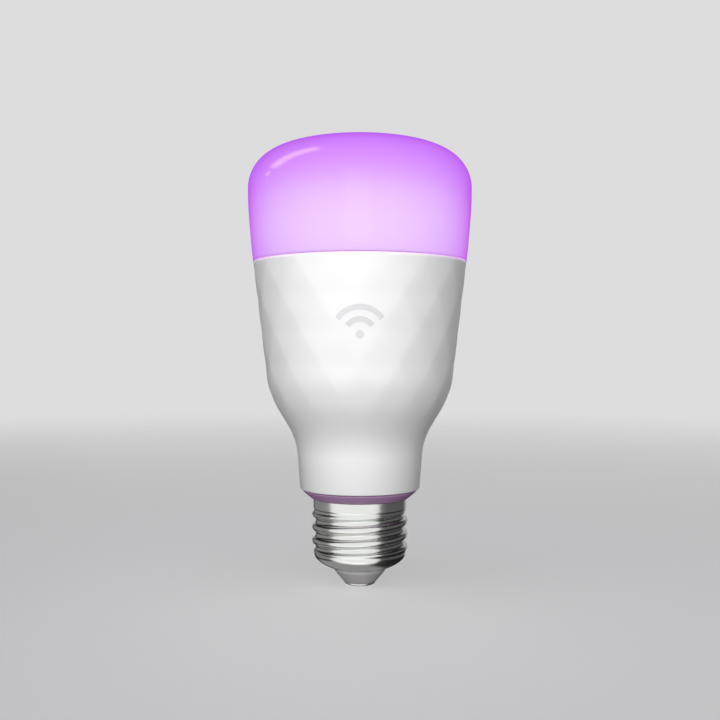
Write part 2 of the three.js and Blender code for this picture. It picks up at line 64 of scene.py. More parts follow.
COVER_HIGH = box_mm("diffuser")[1]
HOUSING_LOW, HOUSING_HIGH = box_mm("housing")
SHELL_LOW, SHELL_HIGH = box_mm("screw_shell")

TOP_Z = COVER_HIGH[2]
COVER_RADIUS = COVER_HIGH[0]
WIDEST_Z = TOP_Z - 12.3  # where the dome meets the cover's side
SEAM_GAP = 0.2
RIM_Z = HOUSING_HIGH[2]
SEAM_Z = RIM_Z + SEAM_GAP
WALL = 1.5
NECK_Z = HOUSING_LOW[2]

FINE_ROUND = 192  # columns of a large turned piece
COLUMNS = 32  # columns of half diamonds round the housing
FACET_STEPS = 7  # mesh steps across and up each half diamond
FACET_ROWS = (86.3, 77.6, 68.9, 60.2, 51.5, 42.8)  # heights of the diamonds' corners
FACET_SHARE = 0.45  # how far the surface goes from round to flat in a diamond
FACET_FADE = 9.0  # the height over which the diamonds fade out at the shoulder
RIM_FADE = 3.0  # and at the rim

# ---- Camera ----

CAMERA_DISTANCE = 0.2579
CAMERA_HEIGHT = 0.0612
LENS_MM = 47.0


def make_camera():
    """A level camera in front of the lamp, at the height of the housing's middle."""
    data = bpy.data.cameras.new("camera")
    data.lens = LENS_MM
    data.sensor_width = 36.0
    data.shift_y = 0.0004
    data.clip_start = 0.01
    data.clip_end = 20.0
    camera = bpy.data.objects.new("camera", data)
    camera.location = (0.00004, -CAMERA_DISTANCE, CAMERA_HEIGHT)
    camera.rotation_euler = (math.radians(90), 0, 0)
    bpy.context.scene.collection.objects.link(camera)
    bpy.context.scene.camera = camera


# ---- Outlines ----


def round_angles(count):
    """Equal steps round a circle, in radians."""
    return [2 * math.pi * i / count for i in range(count)]


def polar(r, angle, z):
    """A point from its radius, angle and height in millimetres."""
    return (r * MM * math.cos(angle), r * MM * math.sin(angle), z * MM)


def eased(share):
    """Holds a share between 0 and 1, and softens how it leaves and reaches them."""
    share = min(max(share, 0), 1)
    return share * share * (3 - 2 * share)


NEARLY_STRAIGHT = math.radians(176)  # corners flatter than this aren't rounded
CORNER_STEPS = 4
CORNER_SHARE = 0.49  # how much of a side one rounded corner may take


def arc_corner(before, corner, after, radius):
    """Points that round a corner of an outline off to a radius."""
    a, c, b = Vector(before), Vector(corner), Vector(after)
    to_a, to_b = (a - c).normalized(), (b - c).normalized()
    angle = to_a.angle(to_b)
    if angle > NEARLY_STRAIGHT:
        return [tuple(c)]
    room = CORNER_SHARE * min((a - c).length, (b - c).length)
    reach = min(radius / math.tan(angle / 2), room)
    real = reach * math.tan(angle / 2)
    centre = c + (to_a + to_b).normalized() * (real / math.sin(angle / 2))
    start, end = c + to_a * reach, c + to_b * reach
    sweep = (start - centre).angle_signed(end - centre)
    turns = (Matrix.Rotation(-sweep * i / CORNER_STEPS, 2) for i in range(CORNER_STEPS + 1))
    return [tuple(centre + turn @ (start - centre)) for turn in turns]


def rounded(outline, radii, closed=True):
    """The outline with its corners rounded. radii maps a corner's index to its radius."""
    out = []
    count = len(outline)
    for i, point in enumerate(outline):
        if i in radii and (closed or 0 < i < count - 1):
            out += arc_corner(outline[i - 1], point, outline[(i + 1) % count], radii[i])
        else:
            out.append(tuple(point))
    return out


def cubic(p0, p1, p2, p3, steps):
    """Points along a cubic Bezier, both ends included."""
    out = []
    for i in range(steps + 1):
        t = i / steps
        s = 1 - t
        out.append(tuple(
            s**3 * a + 3 * s * s * t * b + 3 * s * t * t * c + t**3 * d
            for a, b, c, d in zip(p0, p1, p2, p3)
        ))
    return out


def straight(a, b, steps):
    """Points along a line, the first end included and the last left out."""
    return [(a[0] + (b[0] - a[0]) * i / steps, a[1] + (b[1] - a[1]) * i / steps) for i in range(steps)]


def offset(points, distance):
    """Moves each point of an open outline to the left of its direction of travel."""
    out = []
    for i, (r, z) in enumerate(points):
        r0, z0 = points[max(i - 1, 0)]
        r1, z1 = points[min(i + 1, len(points) - 1)]
        length = math.hypot(r1 - r0, z1 - z0)
        out.append((r - distance * (z1 - z0) / length, z + distance * (r1 - r0) / length))
    return out


def dome_outline():
    """The cover's outside from the top of the axis down to where it is widest."""
    across, up = 4.3, 2.02
    steps = 44
    out = []
    for i in range(steps + 1):
        angle = i * math.pi / 2 / steps
        r = COVER_RADIUS * math.sin(angle) ** (2 / across)
        z = WIDEST_Z + (TOP_Z - WIDEST_Z) * math.cos(angle) ** (2 / up)
        out.append((r, z))
    return out


def cover_side():
    """The cover's outside from its widest place down to the seam."""
    low = (29.54, 91.9)
    drop = WIDEST_Z - low[1]
    pull = (COVER_RADIUS, WIDEST_Z - 0.4 * drop)
    lean = (low[0] + 0.42 * (COVER_RADIUS - low[0]), low[1] + 0.33 * drop)
    side = cubic((COVER_RADIUS, WIDEST_Z), pull, lean, low, 16)
    return side[1:] + [(29.08, SEAM_Z)]


RIM = (29.06, RIM_Z)
SHOULDER = (25.41, 56.9)
NECK_TOP = (17.05, 35.7)
NECK_LOW = (16.3, NECK_Z)


def blend_outline(steps):
    """The S-shaped blend from the housing's cone into its neck."""
    cone = (Vector(SHOULDER) - Vector(RIM)).normalized() * 9.81
    neck = (Vector(NECK_TOP) - Vector(NECK_LOW)).normalized() * 8.57
    return cubic(SHOULDER, Vector(SHOULDER) + cone, Vector(NECK_TOP) + neck, NECK_TOP, steps)


def radius_at(outline, z):
    """The radius of a falling outline at a height."""
    for (r0, z0), (r1, z1) in zip(outline, outline[1:]):
        if z1 <= z <= z0:
            return r0 + (r1 - r0) * (z0 - z) / (z0 - z1)
    raise ValueError(f"the outline doesn't reach {z}")


# ---- Meshes ----


def finish_mesh(name, bm, materials, smooth_angle=35.0, smooth_all=True):
    """Makes an object of a bmesh, smooth but for its sharp edges, and faces left flat on purpose."""
    bmesh.ops.recalc_face_normals(bm, faces=bm.faces)
    for face in bm.faces:
        face.smooth = face.smooth or smooth_all
    limit = math.radians(smooth_angle)
    for edge in bm.edges:
        if len(edge.link_faces) == 2 and edge.calc_face_angle(0) > limit:
            edge.smooth = False
    mesh = bpy.data.meshes.new(name)
    bm.to_mesh(mesh)
    bm.free()
    for material in materials:
        mesh.materials.append(material)
    piece = bpy.data.objects.new(name, mesh)
    bpy.context.scene.collection.objects.link(piece)
    return piece


def ring_grid(bm, rings, split=None):
    """Joins rings of vertices, each as long as the last or a single pole, with quads. Rings that start
    with no pole close on themselves. split says which quads, by row and column, are cut in two, and
    whether the cut falls to the right (1) or to the left (-1)."""
    pairs = list(zip(rings, rings[1:]))
    if len(rings[0]) > 1:
        pairs.append((rings[-1], rings[0]))
    for row, (upper, lower) in enumerate(pairs):
        count = max(len(upper), len(lower))
        for i in range(count if count > 1 else 0):
            j = (i + 1) % count
            way = split.get((row, i)) if split else 0
            if len(upper) == 1:
                faces = [(upper[0], lower[j], lower[i])]
            elif len(lower) == 1:
                faces = [(upper[i], upper[j], lower[0])]
            elif way == 1:
                faces = [(upper[i], upper[j], lower[j]), (upper[i], lower[j], lower[i])]
            elif way == -1:
                faces = [(upper[i], upper[j], lower[i]), (upper[j], lower[j], lower[i])]
            else:
                faces = [(upper[i], upper[j], lower[j], lower[i])]
            for corners in faces:
                bm.faces.new(corners)


def ring(bm, angles, r, z, radius_of=None):
    """A level ring of vertices, or one vertex where it would have no width."""
    if r < 1e-6:
        return [bm.verts.new((0, 0, z * MM))]
    return [bm.verts.new(polar(radius_of(r, z, a) if radius_of else r, a, z)) for a in angles]


def turned(name, outline, material, columns=FINE_ROUND, radius_of=None):
    """Turns an outline in millimetres about the axis. radius_of(r, z, angle) may reshape it."""
    bm = bmesh.new()
    rings = [ring(bm, round_angles(columns), r, z, radius_of) for r, z in outline]
    ring_grid(bm, rings)
    return finish_mesh(name, bm, [material])


def place(piece, node):
    """Puts a piece on the lamp's body, and hides the CAD node that it stands for."""
    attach(piece, ROOT)
    if node:
        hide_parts(node)
    return piece


# ---- Materials ----

FINISH = {}  # every material, by name


class Recipe:
    """A Principled material, with short calls for the nodes that give it its detail."""

    def __init__(self, name, color, roughness, **sockets):
        self.material = bpy.data.materials.new(name)
        self.material.use_nodes = True
        self.tree = self.material.node_tree
        self.shader = self.tree.nodes["Principled BSDF"]
        self.shader.inputs["Base Color"].default_value = (*color, 1)
        self.shader.inputs["Roughness"].default_value = roughness
        for socket, value in sockets.items():
            self.shader.inputs[socket.replace("_", " ")].default_value = value
        self.place = self.tree.nodes.new("ShaderNodeTexCoord").outputs["Object"]
        self.color = color
        FINISH[name] = self.material

    def node(self, kind, inputs=None, **settings):
        """Adds a node. inputs maps socket names or numbers to values or to other sockets."""
        made = self.tree.nodes.new("ShaderNode" + kind)
        for key, value in settings.items():
            setattr(made, key, value)
        for key, value in (inputs or {}).items():
            if isinstance(value, bpy.types.NodeSocket):
                self.tree.links.new(value, made.inputs[key])
            else:
                made.inputs[key].default_value = value
        return made

    def link(self, source, socket):
        """Feeds one of the shader's own sockets."""
        self.tree.links.new(source, self.shader.inputs[socket])

    def stretched(self, x, y, z):
        """Object coordinates scaled along each axis."""
        return self.node("Mapping", {"Vector": self.place, "Scale": (x, y, z)}).outputs["Vector"]

    def noise(self, per_metre, detail=2.0, roughness=0.5, vector=None):
        """Noise with this many waves in a metre."""
        made = self.node("TexNoise", {
            "Vector": vector or self.place, "Scale": per_metre, "Detail": detail,
            "Roughness": roughness})
        return made.outputs["Fac"]

    def height(self):
        """The height of a point, in metres."""
        return self.node("SeparateXYZ", {"Vector": self.place}).outputs["Z"]

    def ranged(self, source, low, high, from_low=0.0, from_high=1.0, ease="LINEAR"):
        """Maps a value from one range to another."""
        made = self.node("MapRange", {
            "Value": source, "From Min": from_low, "From Max": from_high,
            "To Min": low, "To Max": high}, interpolation_type=ease)
        return made.outputs["Result"]

    def math(self, operation, a, b=0.0):
        """One step of arithmetic."""
        return self.node("Math", {0: a, 1: b}, operation=operation).outputs["Value"]

    def ramp(self, source, stops, ease="LINEAR"):
        """A colour ramp of (position, colour) stops."""
        made = self.node("ValToRGB", {"Fac": source})
        elements = made.color_ramp.elements
        made.color_ramp.interpolation = ease
        while len(elements) < len(stops):
            elements.new(0.5)
        for element, (position, color) in zip(elements, stops):
            element.position = position
            element.color = (*color, 1)
        return made.outputs["Color"]

    def tone(self, source, low, high=1.0):
        """Varies the base colour between low and high times itself."""
        dark = tuple(c * low for c in self.color)
        light = tuple(c * high for c in self.color)
        self.link(self.ramp(source, [(0.3, dark), (0.7, light)]), "Base Color")

    def gloss(self, source, low, high):
        """Varies the roughness."""
        self.link(self.ranged(source, low, high, 0.3, 0.7), "Roughness")

    def relief(self, height, depth_mm, strength):
        """Bumps of a real depth."""
        made = self.node("Bump", {"Height": height, "Strength": strength, "Distance": depth_mm * MM})
        self.link(made.outputs["Normal"], "Normal")

    def glow(self, color):
        """Light of the material's own: the cover's lamp light, and the painted highlight on the housing's
        rim.
        """
        self.link(color, "Emission Color")
        self.shader.inputs["Emission Strength"].default_value = 1.0

    def finish(self, tone, gloss, relief):
        """The last layer of most materials. Each is a noise, as waves in a metre and detail, and what it
        does: tone's darkest share, gloss's two roughnesses, and relief's depth and strength."""
        self.tone(self.noise(*tone[:2]), *tone[2:])
        self.gloss(self.noise(*gloss[:2]), *gloss[2:])
        self.relief(self.noise(*relief[:2]), *relief[2:])
        return self.material


def srgb(red, green, blue):
    """A mid or light colour from 0 to 255, as a screen shows it, in linear numbers."""
    return tuple(((value / 255 + 0.055) / 1.055) ** 2.4 for value in (red, green, blue))


# The opal cover by height, from 0 at the seam to 1 at the top: its own colour, and its light.
OPAL_LEVELS = (
    # The first two stops are painted shade: darker colour and light on the skirt and along the seam edge.
    (0.0, (0.30, 0.40, 0.20), (0.30, 0.05, 0.46)),
    (0.008, (0.40, 0.54, 0.29), (0.45, 0.05, 0.76)),
    (0.02, (0.41, 0.56, 0.30), (0.49, 0.06, 0.79)),
    (0.18, (0.43, 0.58, 0.30), (0.49, 0.08, 0.79)),
    (0.33, (0.39, 0.58, 0.30), (0.52, 0.05, 0.80)),
    (0.48, (0.38, 0.51, 0.30), (0.48, 0.03, 0.80)),
    (0.59, (0.31, 0.35, 0.30), (0.48, 0.05, 0.80)),
    (0.72, (0.28, 0.22, 0.30), (0.45, 0.08, 0.80)),
    (1.0, (0.28, 0.18, 0.30), (0.45, 0.08, 0.82)),
)


def opal_material():
    """Satin opal plastic lit from inside. The lamp's light is purple, and the opal's pale olive tone turns
    it lilac wherever light falls on it from outside. The skirt and the seam edge are painted dim: a painted
    shade line along the seam."""
    recipe = Recipe("opal_cover", OPAL_LEVELS[3][1], 0.17)
    rise = recipe.ranged(recipe.height(), 0.0, 1.0, SEAM_Z * MM, TOP_Z * MM)
    own = [(level, color) for level, color, _ in OPAL_LEVELS]
    light = [(level, color) for level, _, color in OPAL_LEVELS]
    recipe.link(recipe.ramp(rise, own, "B_SPLINE"), "Base Color")
    recipe.glow(recipe.ramp(rise, light, "B_SPLINE"))
    recipe.gloss(recipe.noise(260, 3), 0.15, 0.19)
    recipe.relief(recipe.noise(5200, 2), 0.004, 0.25)
    return recipe.material


def housing_material():
    """Smooth satin white plastic, with a painted highlight in the last millimetre of its rim: a
    pinkish-white glow painted in for the cover's light on the rim.
    """
    recipe = Recipe("white_housing", (0.9, 0.9, 0.91), 0.36)
    rise = recipe.ranged(recipe.height(), 0.0, 1.0, (RIM_Z - 1.0) * MM, RIM_Z * MM)
    # Painted highlight: the glow rises over the rim's top millimetre, painted light of the cover on the
    # rim's edge.
    glow = [(0.25, (0, 0, 0)), (0.75, (0.16, 0.10, 0.17)), (1.0, (0.32, 0.22, 0.33))]
    recipe.glow(recipe.ramp(rise, glow))
    return recipe.finish((55, 3, 0.985), (420, 3, 0.33, 0.4), (4600, 2, 0.006, 0.3))


def collar_material():
    """Pale grey plastic with a fine grain, tinted mauve by painted purple light from the cover."""
    # The mauve is painted light: the cover's purple glow on the collar, painted into its grey.
    recipe = Recipe("collar_plastic", srgb(190, 146, 192), 0.42)
    return recipe.finish((120, 3, 0.95), (600, 3, 0.38, 0.48), (4200, 2, 0.006, 0.3))


def nickel_material():
    """Bright nickel plate on rolled sheet, with faint lines round it and soft handling marks."""
    recipe = Recipe("nickel_plate", (0.72, 0.73, 0.71), 0.25, Metallic=1.0)
    lines = recipe.noise(1, 4, 0.6, recipe.stretched(60, 60, 5200))
    smears = recipe.noise(240, 3)
    both = recipe.math("ADD", recipe.math("MULTIPLY", lines, 0.5), recipe.math("MULTIPLY", smears, 0.5))
    recipe.tone(smears, 0.94)
    recipe.gloss(both, 0.19, 0.3)
    recipe.relief(lines, 0.004, 0.35)
    return recipe.material


def insulator_material():
    """Pale, slightly uneven moulded insulator."""
    recipe = Recipe("insulator_plastic", srgb(218, 214, 216), 0.34)
    return recipe.finish((500, 3, 0.93), (900, 3, 0.3, 0.42), (5200, 2, 0.006, 0.3))


def print_material():
    """Pale grey ink."""
    recipe = Recipe("printed_symbol", srgb(224, 224, 226), 0.5)
    return recipe.finish((2600, 3, 0.96), (1600, 2, 0.46, 0.56), (9000, 2, 0.003, 0.3))


def moulded(name, color, roughness=0.45, grain=300, depth=0.004, **sockets):
    """A moulded, coated or painted finish: slight changes of tone and gloss, and a fine grain."""
    return Recipe(name, color, roughness, **sockets).finish(
        (grain, 3, 0.93), (grain * 2, 3, roughness - 0.05, roughness + 0.07), (grain * 16, 2, depth, 0.4))


def metal(name, color, roughness=0.3, grain=700):
    """Plated, drawn or soldered metal with soft blotches."""
    return Recipe(name, color, roughness, Metallic=1.0).finish(
        (grain, 3, 0.88), (grain * 2, 3, roughness - 0.08, roughness + 0.1), (grain * 5, 2, 0.006, 0.4))


def gel_material(name, color):
    """The filled window of an LED: clear or phosphor gel with a glossy skin."""
    recipe = Recipe(name, color, 0.18, Coat_Weight=0.8, Coat_Roughness=0.08, Subsurface_Weight=0.2)
    return recipe.finish((2600, 3, 0.86), (3000, 2, 0.12, 0.26), (2200, 2, 0.01, 0.3))


def spun_material():
    """Spun aluminium: fine turning lines round the axis."""
    recipe = Recipe("spun_aluminium", (0.66, 0.67, 0.69), 0.34, Metallic=1.0)
    x, y, z = recipe.node("SeparateXYZ", {"Vector": recipe.place}).outputs
    squares = recipe.math("MULTIPLY", x, x), recipe.math("MULTIPLY", y, y)
    radius = recipe.math("SQRT", recipe.math("ADD", *squares))
    turning = recipe.node("CombineXYZ", {"X": radius, "Y": z}).outputs["Vector"]
    lines = recipe.noise(4200, 3, 0.6, turning)
    recipe.tone(recipe.noise(160, 3), 0.92)
    recipe.gloss(lines, 0.28, 0.44)
    recipe.relief(lines, 0.008, 0.5)
    return recipe.material


def circuit_material(name, mask, copper):
    """Solder mask over copper areas, whose edges show through as a slight step."""
    recipe = Recipe(name, mask, 0.34, Coat_Weight=0.4, Coat_Roughness=0.2)
    cells = recipe.node("TexVoronoi", {
        "Vector": recipe.place, "Scale": 240.0, "Randomness": 0.7}, distance="CHEBYCHEV")
    pours = recipe.ranged(cells.outputs["Distance"], 0.0, 1.0, 0.38, 0.42)
    recipe.link(recipe.ramp(pours, [(0.0, copper), (1.0, mask)]), "Base Color")
    recipe.gloss(recipe.noise(700, 3), 0.28, 0.42)
    recipe.relief(pours, 0.02, 0.5)
    return recipe.material


def wound_material(name, color, wire_mm, **sockets):
    """A winding or a taped coil: level turns of one width."""
    recipe = Recipe(name, color, 0.32, **sockets)
    wave = recipe.math("SINE", recipe.math("MULTIPLY", recipe.height(), 2 * math.pi / (wire_mm * MM)))
    recipe.tone(recipe.noise(900, 2), 0.85)
    recipe.gloss(recipe.noise(1500, 2), 0.26, 0.4)
    recipe.relief(wave, wire_mm * 0.15, 0.6)
    return recipe.material


def speckled_material(name, color, speck, roughness, grain):
    """A pressed or filled material with fine specks."""
    recipe = Recipe(name, color, roughness)
    specks = recipe.noise(grain, 4, 0.7)
    recipe.link(recipe.ramp(specks, [(0.42, color), (0.66, speck)]), "Base Color")
    recipe.gloss(specks, roughness - 0.08, roughness + 0.08)
    recipe.relief(specks, 0.02, 0.5)
    return recipe.material


def make_inner_finishes():
    """The finishes of the inner pieces, each kept under its name."""
    moulded("silicone", (0.80, 0.79, 0.75), 0.55, 200, Subsurface_Weight=0.15)
    spun_material()
    speckled_material("thermal_pad", (0.24, 0.30, 0.38), (0.34, 0.40, 0.47), 0.8, 1800)
    circuit_material("white_circuit_board", (0.84, 0.84, 0.80), (0.76, 0.76, 0.71))
    circuit_material("green_circuit_board", (0.015, 0.12, 0.045), (0.03, 0.19, 0.075))
    gel_material("led_warm", (0.86, 0.50, 0.07))
    gel_material("led_cool", (0.82, 0.74, 0.16))
    gel_material("led_red", (0.62, 0.03, 0.03))
    gel_material("led_green", (0.03, 0.36, 0.09))
    gel_material("led_blue", (0.03, 0.10, 0.62))
    metal("zinc_steel", (0.58, 0.58, 0.60), 0.34)
    moulded("sleeve_plastic", (0.68, 0.68, 0.63), 0.5, 120)
    moulded("black_plastic", (0.022, 0.022, 0.025), 0.42, 400)
    moulded("capacitor_sleeve", (0.02, 0.035, 0.07), 0.28, 500, Coat_Weight=0.5, Coat_Roughness=0.12)
    speckled_material("ferrite", (0.045, 0.045, 0.05), (0.09, 0.09, 0.095), 0.6, 3000)
    wound_material("winding_tape", (0.76, 0.48, 0.04), 3.0, Coat_Weight=0.5)
    wound_material("copper", (0.62, 0.22, 0.08), 0.3, Metallic=1.0, Coat_Weight=0.6, Coat_Roughness=0.1)
    moulded("film_yellow", (0.66, 0.40, 0.03), 0.42, 300)
    moulded("varistor_blue", (0.02, 0.12, 0.42), 0.3, 500, 0.01, Coat_Weight=0.4)
    metal("gold_plate", (0.83, 0.58, 0.24), 0.28, 900)
    speckled_material("fuse_ceramic", (0.74, 0.72, 0.64), (0.62, 0.60, 0.53), 0.6, 2600)
    moulded("wire_red", (0.50, 0.02, 0.02), 0.36, 600)
    moulded("wire_white", (0.78, 0.78, 0.75), 0.4, 600)
    moulded("led_case", (0.82, 0.82, 0.79), 0.4, 1500)
    metal("solder", (0.72, 0.73, 0.74), 0.22, 1400)
    metal("can_aluminium", (0.70, 0.71, 0.72), 0.3, 900)


# ---- Outer pieces ----


def make_cover():
    """The opal cover, with its seam edge and the skirt that plugs into the housing."""
    outside = dome_outline() + cover_side()
    inside = offset(outside[1:-1], -WALL)
    inside = [p for p in inside if p[1] > SEAM_Z + 1.8]
    seam = len(outside) - 1
    skirt = [(26.8, SEAM_Z), (26.8, 84.2), (25.4, 84.2), (25.4, SEAM_Z + 1.2), (26.6, SEAM_Z + 1.6)]
    outline = outside + skirt + inside[::-1] + [(0, TOP_Z - WALL)]
    corners = {seam: 0.1, seam + 2: 0.3, seam + 3: 0.3}
    cover = turned("opal_cover", rounded(outline, corners, closed=False), opal_material())
    return place(cover, "diffuser")


def facet_share(z):
    """How flat the diamonds are at a height: they fade out over the shoulder and below the rim."""
    over_shoulder = (z - FACET_ROWS[-1] - 0.2) / FACET_FADE
    return FACET_SHARE * eased(over_shoulder) * min(max((RIM_Z - z) / RIM_FADE, 0), 1)


def facet_level(z):
    """How many rows of corners lie above a height."""
    return (FACET_ROWS[0] - z) / (FACET_ROWS[0] - FACET_ROWS[1])


def faceted_radius(r, z, angle):
    """The housing's radius where its round surface is drawn towards flat, elongated diamonds. A
    diamond's half width falls from one column to nothing over a row, while its neighbour's grows."""
    share = facet_share(z)
    if share <= 0:
        return r
    column_width = 2 * math.pi / COLUMNS
    row = math.floor(facet_level(z) + 1e-6)
    fraction = facet_level(z) - row
    turn = angle / column_width
    column = round(turn)
    half = 1 - fraction if (column + row) % 2 == 0 else fraction
    away = abs(turn - column)
    if away > half:
        half, away = 1 - half, 1 - away
    flat = r * math.cos(half * column_width) / math.cos(away * column_width)
    return r + share * (flat - r)


def housing_outside():
    """The housing's outside from the rim down, with a row at each step of the diamonds."""
    plain = straight(RIM, SHOULDER, 40) + blend_outline(60) + [NECK_LOW]
    step = (FACET_ROWS[0] - FACET_ROWS[1]) / FACET_STEPS
    heights = [FACET_ROWS[0] - step * i for i in range(FACET_STEPS * (len(FACET_ROWS) - 1) + 1)]
    rows = [(radius_at(plain, z), z) for z in heights]
    below = [p for p in plain if p[1] < heights[-1] - 0.2]
    return [RIM] + rows + below


def facet_edge(outline, row, i):
    """Which way a diamond's edge crosses a quad, if one does: 1 falls to the right, -1 to the left."""
    level = facet_level(outline[row][1])
    if not -1e-3 < level < len(FACET_ROWS) - 1 - 1e-3:
        return 0
    corner_row = math.floor(level + 1e-3)
    step = round((level - corner_row) * FACET_STEPS)
    column, across = divmod(i, FACET_STEPS)
    if (column + corner_row) % 2 == 0:
        return -1 if across == FACET_STEPS - step - 1 else 0
    return 1 if across == step else 0


def make_housing():
    """The white housing, its walls open at the rim and at the neck."""
    outside = housing_outside()
    inside = offset(outside, -WALL)[::-1]
    inside[-1] = (RIM[0] - WALL, RIM_Z)
    inside = [(r, max(z, NECK_Z)) for r, z in inside]
    last = len(outside) - 1
    outside = rounded(outside + [inside[0]], {last: 0.35}, closed=False)[:-1]
    outside = arc_corner(inside[-1], RIM, outside[1], 0.22) + outside[1:]
    inside = arc_corner(outside[-1], inside[0], inside[1], 0.3) + inside[1:]
    bm = bmesh.new()
    angles = round_angles(COLUMNS * FACET_STEPS)
    rings = [ring(bm, angles, r, z, faceted_radius) for r, z in outside]
    rings += [ring(bm, angles, r, z) for r, z in inside]
    split = {(row, i): facet_edge(outside, row, i)
             for row in range(len(outside) - 1) for i in range(COLUMNS * FACET_STEPS)}
    ring_grid(bm, rings, split)
    housing = finish_mesh("housing_moulding", bm, [housing_material()], smooth_angle=50)
    return place(housing, "housing")


def make_collar():
    """The collar: its chamfer shows between neck and screw shell, and its spigot carries the shell."""
    top = NECK_Z - 0.12
    foot = SHELL_HIGH[2] + 0.1
    outline = [
        (10.05, 9.6), (10.95, 9.6), (10.95, foot), (13.25, foot), (16.1, top), (14.4, top),
        (14.4, 30.2), (12.8, 30.2), (10.05, top),
    ]
    corners = {0: 0.15, 1: 0.3, 3: 0.35, 4: 0.3, 6: 0.3, 7: 0.3}
    collar = turned("neck_collar", rounded(outline, corners), collar_material())
    return place(collar, "base_collar")


THREAD_PITCH = 3.629
THREAD_CREST_Z = -0.6
THREAD_MEAN = 12.6
THREAD_DEPTH = 0.5
THREAD_TOP, THREAD_BOTTOM = 20.6, 9.0
RUN_OUT = 1.3
SHEET = 0.35


def make_screw_shell():
    """The rolled screw shell: a lip with rounded edges, a plain band, the rounded thread and the shoulder.
    """
    band = 12.75
    lip_top = SHELL_HIGH[2]
    hole = (7.5, SHELL_LOW[2] + 0.2)
    outside = straight((band, lip_top), (band, THREAD_TOP + 0.7), 6)
    outside += cubic((band, THREAD_TOP + 0.7), (band, THREAD_TOP + 0.3), (
        THREAD_MEAN, THREAD_TOP + 0.3), (THREAD_MEAN, THREAD_TOP), 5)[:-1]
    outside += straight((THREAD_MEAN, THREAD_TOP), (THREAD_MEAN, THREAD_BOTTOM), 96)
    shoulder = cubic((THREAD_MEAN, THREAD_BOTTOM), (THREAD_MEAN, 7.2), (11.0, 6.1), hole, 26)
    outside += shoulder
    inside = offset(outside, -SHEET)[::-1]
    outline = rounded(outside + inside, {
        0: 0.12, len(outside) - 1: 0.12, len(outside): 0.1, 2 * len(outside) - 1: 0.12})

    quarter = THREAD_PITCH / 4
    flank = 2 * math.atan(THREAD_DEPTH / quarter)  # the flank's steepest slope
    curve = quarter / math.sin(flank)  # the radius of crest and root

    def threaded(r, z, angle):
        """Round crests and roots that meet in steep flanks, as an Edison thread is rolled."""
        from_end = min(THREAD_TOP - z, z - THREAD_BOTTOM) / RUN_OUT
        if from_end <= 0:
            return r
        turns = (z - THREAD_CREST_Z) / THREAD_PITCH - angle / (2 * math.pi)
        away = abs(turns - round(turns)) * THREAD_PITCH
        if away < quarter:
            wave = THREAD_DEPTH - curve + math.sqrt(curve * curve - away * away)
        else:
            away = 2 * quarter - away
            wave = curve - THREAD_DEPTH - math.sqrt(curve * curve - away * away)
        return r + eased(from_end) * wave

    shell = turned("rolled_screw_shell", outline, nickel_material(), radius_of=threaded)
    return place(shell, "screw_shell")


def make_insulator():
    """The insulating cone, with its flange inside the shell."""
    low, high = box_mm("base_insulator")
    bore = 1.7
    outline = [
        (bore, low[2]), (4.45, low[2]), (7.05, 4.0), (7.05, 5.4), (9.0, 6.6), (9.0, high[2]),
        (bore, high[2]),
    ]
    corners = {1: 0.3, 2: 0.5, 4: 0.2, 5: 0.2}
    cone = turned("insulator_cone", rounded(outline, corners), insulator_material(), 128)
    return place(cone, "base_insulator")


def make_contact():
    """The centre contact: a pressed button with a flat face and its rivet."""
    low, high = box_mm("centre_contact")
    outline = [
        (0, low[2]), (3.5, low[2]), (4.26, 0.4), (4.26, 0.8), (1.5, 0.8), (1.5, high[2]), (0, high[2])]
    corners = {1: 0.5, 2: 0.3, 3: 0.12, 5: 0.2}
    button = turned("contact_button", rounded(outline, corners, closed=False), nickel_material(), 96)
    return place(button, "centre_contact")


# ---- Printed symbol ----

SYMBOL_Z = 67.6  # height of the symbol's dot
PRINT_PROUD = 0.02
PRINT_THICK = 0.05
DOT_RADIUS = 1.05


def make_symbol():
    """A generic wireless symbol, printed on the front: a dot under two arcs."""
    plain = straight(RIM, SHOULDER, 40) + blend_outline(60)
    bm = bmesh.new()

    def on_surface(x, z, proud):
        """A point of the print, x along the surface from the front."""
        r = radius_at(plain, z)
        angle = -math.pi / 2 + x / r
        return bm.verts.new(polar(faceted_radius(r, z, angle) + proud, angle, z))

    half_fan, steps = math.radians(55), 40
    fan = [half_fan * (2 * j / steps - 1) for j in range(steps + 1)]
    for inner, outer in ((3.1, 4.5), (6.1, 7.5)):
        front, back = (
            [[on_surface(r * math.sin(turn), SYMBOL_Z + r * math.cos(turn), proud) for turn in fan]
             for r in (inner, (inner + outer) / 2, outer)]
            for proud in (PRINT_PROUD + PRINT_THICK, PRINT_PROUD))
        loops = [a + b[::-1] for a, b in zip(front, back)]
        for near, far in zip(loops, loops[1:]):
            for j in range(len(fan) - 1):
                bm.faces.new((near[j], near[j + 1], far[j + 1], far[j]))
                bm.faces.new((near[-j - 1], far[-j - 1], far[-j - 2], near[-j - 2]))
        for loop in (loops[0], loops[-1]):
            for j in range(len(fan) - 1):
                bm.faces.new((loop[j], loop[j + 1], loop[-j - 2], loop[-j - 1]))
        for near, far in zip(loops, loops[1:]):
            for j in (0, len(fan) - 1):
                bm.faces.new((near[j], far[j], far[-j - 1], near[-j - 1]))

    def circle(radius, proud):
        """A circle of the dot, or its middle."""
        angles = round_angles(32) if radius else [0]
        return [on_surface(radius * math.cos(a), SYMBOL_Z + radius * math.sin(a), proud) for a in angles]

    radii = [DOT_RADIUS * k / 4 for k in range(5)]
    front = [circle(radius, PRINT_PROUD + PRINT_THICK) for radius in radii]
    back = [circle(radius, PRINT_PROUD) for radius in radii]
    ring_grid(bm, front + back[::-1])
    symbol = finish_mesh("printed_symbol", bm, [print_material()])
    return place(symbol, None)


